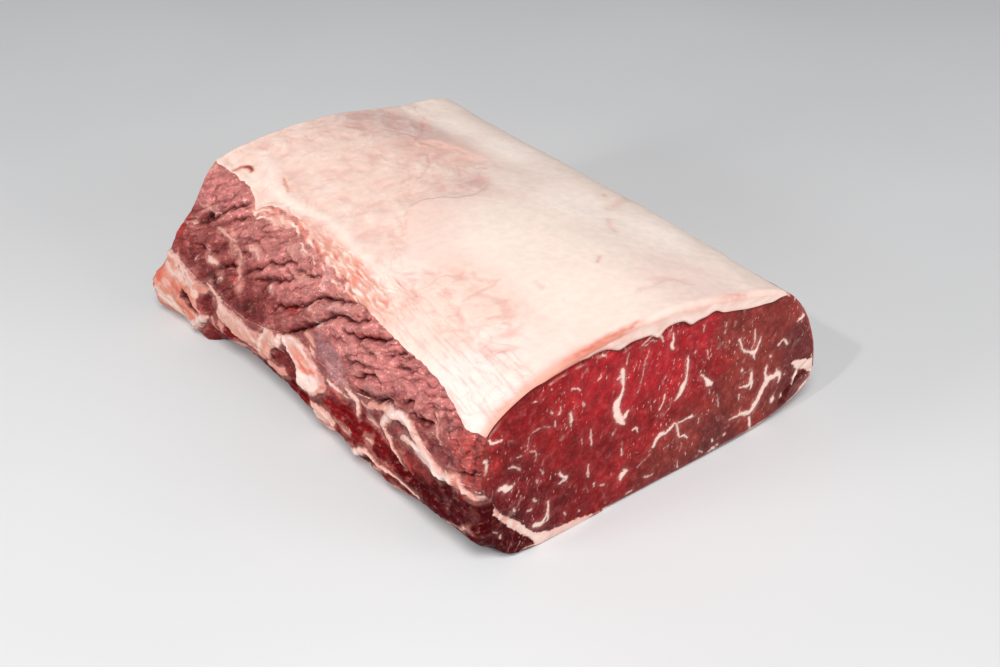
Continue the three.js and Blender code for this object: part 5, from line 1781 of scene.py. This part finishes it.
fat_cap = build_piece(
    "fat_cap_skin",
    [
        (224, outer(fat_top_surface, edge_place, fat_end), fat_level),
        (224, under_fat(0.0, backwards=True), "hidden"),
    ],
    spacing=(0.8, 1.2),
    strokes=([], []),
    seed=1,
    rows=FAT_ROWS,
    face_looks=(front_fat_look, back_fat_look),
    proud=0.35,
)
eye = build_piece(
    "eye_muscle_flesh",
    [
        (88, outer(side_surface, seam_place("upper", 0.0), side_top), everywhere(0)),
        (320, under_fat(0.2), "hidden"),
        (96, outer(right_surface, below_fat_end, tail_place(TAIL_EYE_SIDE, -ASIDE)), everywhere(1)),
        (48, tail_curve(TAIL_EYE_SIDE, -1), "hidden"),
        (160, outer(base_surface, TAIL_EYE_SIDE["bottom"] + ASIDE, BASE_INNER), everywhere(2)),
        (24, base_line(INNER_FOOT, SEAM_EYE_SIDE["base"]), everywhere(2)),
        (96, seam_curve("upper", 1, backwards=True), "hidden"),
    ],
    spacing=(1.0, 1.8),
    strokes=(FRONT_STROKES + SEAM_STROKES + TAIL_STROKES + FACE_EDGES, BACK_STROKES),
    seed=2,
)
seam = build_piece(
    "seam_fat_skin",
    [
        (96, seam_curve("upper", -1), "hidden"),
        (40, base_line(SEAM_EYE_SIDE["base"], SEAM_CHAIN_SIDE["base"]), everywhere(2)),
        (72, seam_curve("lower", 1, backwards=True), "hidden"),
        (16, outer(seam_surface, seam_place("lower", -2 * ASIDE), seam_place("upper", 2 * ASIDE)),
         everywhere(0)),
    ],
    spacing=(0.6, 1.2),
    strokes=(SEAM_STROKES, []),
    seed=3,
)
chain = build_piece(
    "chain_muscle_flesh",
    [
        (80, outer(side_surface, BASE_LEFT, seam_place("lower", 0.0)), everywhere(0)),
        (72, seam_curve("lower", -1), "hidden"),
        (40, chain_base, everywhere(2)),
    ],
    spacing=(0.8, 1.3),
    strokes=(SEAM_STROKES, []),
    seed=4,
)
tail = build_piece(
    "tail_muscle_flesh",
    [
        (8, outer(right_surface, tail_place(TAIL_EYE_SIDE, ASIDE), tail_place(TAIL_FAT_SIDE, -ASIDE)),
         everywhere(1)),
        (40, tail_curve(TAIL_FAT_SIDE, -1), "hidden"),
        (8, outer(base_surface, TAIL_FAT_SIDE["bottom"] + ASIDE, TAIL_EYE_SIDE["bottom"] - ASIDE),
         everywhere(1)),
        (40, tail_curve(TAIL_EYE_SIDE, 1, backwards=True), "hidden"),
    ],
    spacing=(0.6, 1.2),
    strokes=(TAIL_STROKES, []),
    seed=5,
)
tail_fat = build_piece(
    "tail_fat_skin",
    [
        (56, outer(tail_fat_surface, tail_place(TAIL_FAT_SIDE, ASIDE), TAIL_FAT_SIDE["bottom"] - ASIDE),
         everywhere(1)),
        (40, tail_curve(TAIL_FAT_SIDE, 1, backwards=True), "hidden"),
    ],
    spacing=(0.6, 1.2),
    strokes=(TAIL_STROKES, []),
    seed=6,
)

# --- Materials -----------------------------------------------------------------------------------


class Graph:
    """A material's nodes, added and linked in one call each."""

    def __init__(self, name):
        self.material = bpy.data.materials.new(name)
        self.material.use_nodes = True
        self.tree = self.material.node_tree
        self.shader = next(n for n in self.tree.nodes if n.type == "BSDF_PRINCIPLED")

    def set_input(self, socket, value):
        if isinstance(value, bpy.types.NodeSocket):
            self.tree.links.new(value, socket)
        elif hasattr(value, "__len__") and len(value) == 3 and socket.type == "RGBA":
            socket.default_value = (*value, 1)
        else:
            socket.default_value = value

    def add(self, kind, inputs=(), output=0, **settings):
        node = self.tree.nodes.new(kind)
        for key, value in settings.items():
            setattr(node, key, value)
        for key, value in dict(inputs).items():
            self.set_input(node.inputs[key], value)
        return node.outputs[output]

    def attribute(self, name, output):
        node = self.tree.nodes.new("ShaderNodeAttribute")
        node.attribute_name = name
        return node.outputs[output]

    def math(self, operation, a, b=0.0, clamp=False):
        return self.add("ShaderNodeMath", {0: a, 1: b}, operation=operation, use_clamp=clamp)

    def ramp(self, value, low, high, start=0.0, end=1.0):
        return self.add(
            "ShaderNodeMapRange",
            {"Value": value, "From Min": low, "From Max": high, "To Min": start, "To Max": end},
            interpolation_type="SMOOTHSTEP",
        )

    def between(self, share, a, b):
        """A number between two others."""
        return self.add("ShaderNodeMix", {0: share, 2: a, 3: b})

    def mix(self, share, a, b, blend="MIX"):
        """A colour between two others."""
        node = self.tree.nodes.new("ShaderNodeMix")
        node.data_type, node.blend_type = "RGBA", blend
        for index, value in ((0, share), (6, a), (7, b)):
            self.set_input(node.inputs[index], value)
        return node.outputs[2]

    def noise(self, place, scale, detail=2.0, rough=0.5, stretch=None, turn=(0, 0, 0), output=0):
        """Noise, drawn out along axes that are turned first."""
        if stretch:
            place = self.add(
                "ShaderNodeMapping",
                {"Vector": place, "Rotation": turn, "Scale": stretch},
                vector_type="TEXTURE",
            )
        inputs = {"Vector": place, "Scale": scale, "Detail": detail, "Roughness": rough}
        return self.add("ShaderNodeTexNoise", inputs, output)

    def drifted(self, place, scale, reach):
        """The place moved about by noise, so that what is drawn there wanders."""
        drift = self.noise(place, scale, 1.0, output="Color")
        return self.add(
            "ShaderNodeVectorMath", {0: drift, 1: (reach, reach, reach), 2: place}, operation="MULTIPLY_ADD"
        )

    def hairlines(self, place, scale, width, stretch=None, turn=(0, 0, 0)):
        """Thin lines where noise crosses its middle value: 1 on a line and 0 beside it."""
        value = self.noise(place, scale, 2.0, 0.55, stretch, turn)
        away = self.math("ABSOLUTE", self.math("SUBTRACT", value, 0.5))
        return self.ramp(away, 0.0, width, 1.0, 0.0)

    def scaled(self, tint, factor):
        """A colour made lighter or darker by a number."""
        return self.add("ShaderNodeVectorMath", {0: tint, "Scale": factor}, operation="SCALE")


GRAIN_TURN = (-0.49, 0, 0)  # the lean's grain on the left side
FLECK_TURN = (0, 0.28, 0)  # the flecks on the cut faces


def fat_edges(g, place, fat, cut):
    """Where the fat is, with a ragged edge that is most ragged on a cut face."""
    ragged = g.math("SUBTRACT", g.noise(place, 900.0, 3.0, 0.65), 0.5)
    edge = g.math("ADD", fat, g.math("MULTIPLY", ragged, g.ramp(cut, 0.0, 1.0, 1.4, 2.4)))
    return g.ramp(edge, -0.32, 0.4)


def lean_colour(g, place, cut, shade, grain):
    """The lean: fibres, painted shade in creases, painted sheen and glints, and on a cut face fine flecks
    of fat.
    """
    side = g.math("SUBTRACT", 1.0, cut)
    lean = g.scaled(g.attribute("lean", "Color"), g.ramp(grain, 0.3, 0.7, 0.74, 1.22))
    lean = g.scaled(lean, g.ramp(g.noise(place, 75.0, 3.0, 0.6), 0.28, 0.72, 0.86, 1.14))
    crack = g.hairlines(g.drifted(place, 120.0, 0.004), 210.0, 0.022, (1, 2.6, 1), GRAIN_TURN)
    # Painted shade in the fine cracks of the side's lean.
    crack_shade = g.math("MULTIPLY", g.math("MULTIPLY", crack, side), 0.32)
    shade = g.math("MAXIMUM", g.math("MULTIPLY", shade, 0.95), crack_shade)
    # Painted shade: the lean darkens towards a deep red where the shade attribute says.
    lean = g.mix(shade, lean, g.mix(1.0, lean, (0.22, 0.09, 0.10), "MULTIPLY"))
    # Painted sheen: rosy highlights as patches of the side's lean, lightened and turned pink.
    painted_sheen = g.ramp(g.noise(place, 360.0, 3.0, 0.65, (1, 1.8, 1), GRAIN_TURN), 0.52, 0.72, 0.0, 0.42)
    painted_sheen = g.math("MULTIPLY", painted_sheen, side)
    lean = g.scaled(lean, g.math("ADD", painted_sheen, 1.0))
    lean = g.mix(g.math("MULTIPLY", painted_sheen, 0.4), lean, tuple(PINK_FAT))
    # Painted glints: small bright specks on the side's lean, kept out of the shade.
    glint = g.ramp(g.noise(place, 1100.0, 1.0, 0.4, (1, 1.7, 1), GRAIN_TURN), 0.62, 0.70, 0.0, 0.75)
    often = g.ramp(g.noise(place, 130.0, 1.0), 0.42, 0.6)
    glint = g.math("MULTIPLY", g.math("MULTIPLY", glint, often), side)
    glint = g.math("MULTIPLY", glint, g.math("SUBTRACT", 1.0, shade, clamp=True))
    lean = g.mix(glint, lean, g.mix(1.0, lean, (2.1, 3.1, 3.1), "MULTIPLY"))
    dots = g.ramp(g.noise(place, 1250.0, 2.0, 0.5, (1, 1, 1.5), FLECK_TURN), 0.5, 0.75, 0.0, 0.16)
    lean = g.mix(g.math("MULTIPLY", dots, cut), lean, tuple(ROSY_LEAN))
    density = g.ramp(g.noise(place, 75.0, 2.0), 0.36, 0.66, 0.75, 0.62)
    flecks = g.noise(place, 760.0, 2.0, 0.5, (0.8, 1, 1.8), FLECK_TURN)
    fleck = g.ramp(g.math("SUBTRACT", flecks, density), 0.0, 0.07, 0.0, 0.65)
    wisps = g.hairlines(g.drifted(place, 190.0, 0.003), 150.0, 0.04, (1, 1, 3.2), FLECK_TURN)
    kept = g.ramp(g.noise(place, 170.0, 1.0), 0.58, 0.66, 0.0, 0.2)
    fleck = g.math("MAXIMUM", fleck, g.math("MULTIPLY", wisps, kept))
    return g.mix(g.math("MULTIPLY", fleck, cut), lean, tuple(MARBLING * 0.8)), crack


def fat_colour(g, place, grain):
    """The fat: its tint from the mesh, a fine grain, and pink hairlines where the mesh says."""
    tallow = g.scaled(g.attribute("tallow", "Color"), g.ramp(grain, 0.3, 0.7, 0.96, 1.03))
    drifting = g.drifted(place, 30.0, 0.022)
    hair = g.hairlines(drifting, 48.0, 0.024, (1.0, 1.7, 1.0), (0, 0, 0.45))
    finer = g.hairlines(drifting, 120.0, 0.034, (1.0, 2.2, 1.0), (0, 0, 0.3))
    hair = g.math("MAXIMUM", hair, g.math("MULTIPLY", finer, 0.7))
    patchy = g.ramp(g.noise(place, 45.0, 2.0), 0.32, 0.56)
    amount = g.math("MULTIPLY", g.math("MULTIPLY", hair, patchy), g.attribute("vein", "Fac"))
    return g.mix(g.math("MULTIPLY", amount, 0.3), tallow, tuple(ROSE_FAT))


def flesh_material(name, gloss, roughness=0.42, fat_roughness=0.46, coat=0.85):
    """Moist lean and fat. The mesh says where the fat is, and two colours for every point."""
    g = Graph(name)
    place = g.add("ShaderNodeTexCoord", output="Object")
    shade, cut, wet = (g.attribute(key, "Fac") for key in ("shade", "cut", "wet"))
    fat_mask = fat_edges(g, place, g.attribute("fat", "Fac"), cut)

    grain_side = g.noise(place, 520.0, 3.0, 0.6, (1.0, 2.6, 1.0), GRAIN_TURN)
    grain_face = g.noise(place, 820.0, 3.0, 0.65)
    grain_face = g.math("ADD", g.math("MULTIPLY", grain_face, 0.8), 0.1)
    grain = g.between(cut, grain_side, grain_face)
    lean, crack = lean_colour(g, place, cut, shade, grain)
    fat_grain = g.noise(place, 260.0, 3.0, 0.55)
    base = g.mix(fat_mask, lean, fat_colour(g, place, fat_grain))

    rough_lean = g.ramp(grain, 0.3, 0.7, roughness - 0.08, roughness + 0.08)
    rough_lean = g.math("SUBTRACT", rough_lean, g.math("MULTIPLY", wet, 0.16))
    rough_fat = g.ramp(fat_grain, 0.3, 0.7, fat_roughness - 0.06, fat_roughness + 0.1)
    rough = g.between(fat_mask, rough_lean, rough_fat)

    coarse = g.math("MULTIPLY", g.noise(place, 330.0, 2.0), 1.1)
    lean_height = g.math("ADD", grain, g.math("SUBTRACT", coarse, g.math("MULTIPLY", crack, 0.25)))
    lean_height = g.math("MULTIPLY", lean_height, g.ramp(cut, 0.0, 1.0, 1.0, 0.32))
    fat_height = g.math("ADD", g.math("MULTIPLY", fat_grain, 0.3), 0.5)
    height = g.between(fat_mask, lean_height, fat_height)
    bump = g.add("ShaderNodeBump", {"Height": height, "Strength": 0.7, "Distance": 0.0007})

    shader = g.shader
    g.set_input(shader.inputs["Base Color"], base)
    g.set_input(shader.inputs["Roughness"], rough)
    g.set_input(shader.inputs["Normal"], bump)
    g.set_input(shader.inputs["Coat Weight"], g.math("MULTIPLY", wet, coat))
    shader.inputs["Subsurface Weight"].default_value = 0.12
    shader.inputs["Subsurface Radius"].default_value = (1.0, 0.35, 0.25)
    shader.inputs["Subsurface Scale"].default_value = 0.0025
    shader.inputs["Specular IOR Level"].default_value = gloss
    shader.inputs["Coat Roughness"].default_value = 0.14
    return g.material


LEAN_MATERIAL = flesh_material("moist_lean", 0.09)
FAT_MATERIAL = flesh_material("fat_cap_satin", 0.3, fat_roughness=0.48)
SEAM_MATERIAL = flesh_material("seam_fat_moist", 0.25, fat_roughness=0.4)
DARK_MATERIAL = flesh_material("wet_dark_lean", 0.02, roughness=0.4, coat=0.4)

for piece, node, slot_name, material in (
    (fat_cap, "fat_cap", "fat_cap", FAT_MATERIAL),
    (eye, "eye_muscle", "lean", LEAN_MATERIAL),
    (seam, "seam_fat", "seam_fat", SEAM_MATERIAL),
    (chain, "chain_muscle", "dark_lean", DARK_MATERIAL),
    (tail, "tail_muscle", "dark_lean", DARK_MATERIAL),
    (tail_fat, "tail_fat", "seam_fat", SEAM_MATERIAL),
):
    piece.data.materials.append(material)
    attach(piece, "root")
    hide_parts(node)

# --- Floor, light and camera ---------------------------------------------------------------------


FLOOR_REACH = 20.0
FLOOR_DROP = 0.0003
LIT_POINT = (0, 0, 0.04)
LIGHTS = (
    # name, place and size in metres, power in watts
    ("key", (-0.55, -0.75, 1.25), 0.6, 18),
    ("side", (-1.3, 0.15, 0.55), 0.4, 6.5),
    ("fill", (0.6, -1.3, 0.6), 0.8, 6),
    ("glint", (-1.0, -0.35, 1.0), 0.06, 4.0),
)
CAMERA_PLACE = (-0.3182, -0.4472, 0.3817)
CAMERA_TILT = 56
CAMERA_TURN = -37.12


def area_light(name, place, size, power):
    """A round soft light that faces the middle of the roast."""
    data = bpy.data.lights.new(name, "AREA")
    data.shape = "DISK"
    data.size = size
    data.energy = power
    light = bpy.data.objects.new(name, data)
    light.location = place
    away = np.array(place) - np.array(LIT_POINT)
    yaw = math.atan2(away[1], away[0]) + math.pi / 2
    light.rotation_euler = (math.acos(away[2] / np.linalg.norm(away)), 0, yaw)
    bpy.context.scene.collection.objects.link(light)


def pale_floor():
    mesh = bpy.data.meshes.new("floor")
    corners = [(FLOOR_REACH * x, FLOOR_REACH * y, 0) for x, y in ((-1, -1), (1, -1), (1, 1), (-1, 1))]
    mesh.from_pydata(corners, [], [(0, 1, 2, 3)])
    floor = bpy.data.objects.new("floor", mesh)
    floor.location.z = -FLOOR_DROP
    bpy.context.scene.collection.objects.link(floor)
    g = Graph("pale_floor")
    place = g.add("ShaderNodeTexCoord", output="Object")
    tone = g.ramp(g.noise(place, 3.0), 0.3, 0.7, 0.62, 0.66)
    g.set_input(g.shader.inputs["Base Color"], g.add("ShaderNodeCombineColor", {0: tone, 1: tone, 2: tone}))
    g.shader.inputs["Roughness"].default_value = 0.8
    mesh.materials.append(g.material)


def pale_world():
    world = bpy.data.worlds.new("studio")
    world.use_nodes = True
    sky = world.node_tree.nodes["Background"]
    sky.inputs["Color"].default_value = (0.93, 0.95, 1.0, 1)
    sky.inputs["Strength"].default_value = 0.24
    bpy.context.scene.world = world


def photograph_camera():
    """The camera at the photograph's viewing angle."""
    camera = bpy.data.objects.new("camera", bpy.data.cameras.new("camera"))
    camera.data.lens = 50
    camera.data.sensor_width = 36
    camera.location = CAMERA_PLACE
    camera.rotation_euler = (math.radians(CAMERA_TILT), 0, math.radians(CAMERA_TURN))
    bpy.context.scene.collection.objects.link(camera)
    bpy.context.scene.camera = camera


pale_floor()
pale_world()
for light in LIGHTS:
    area_light(*light)
photograph_camera()
bpy.context.scene.view_settings.view_transform = "Standard"
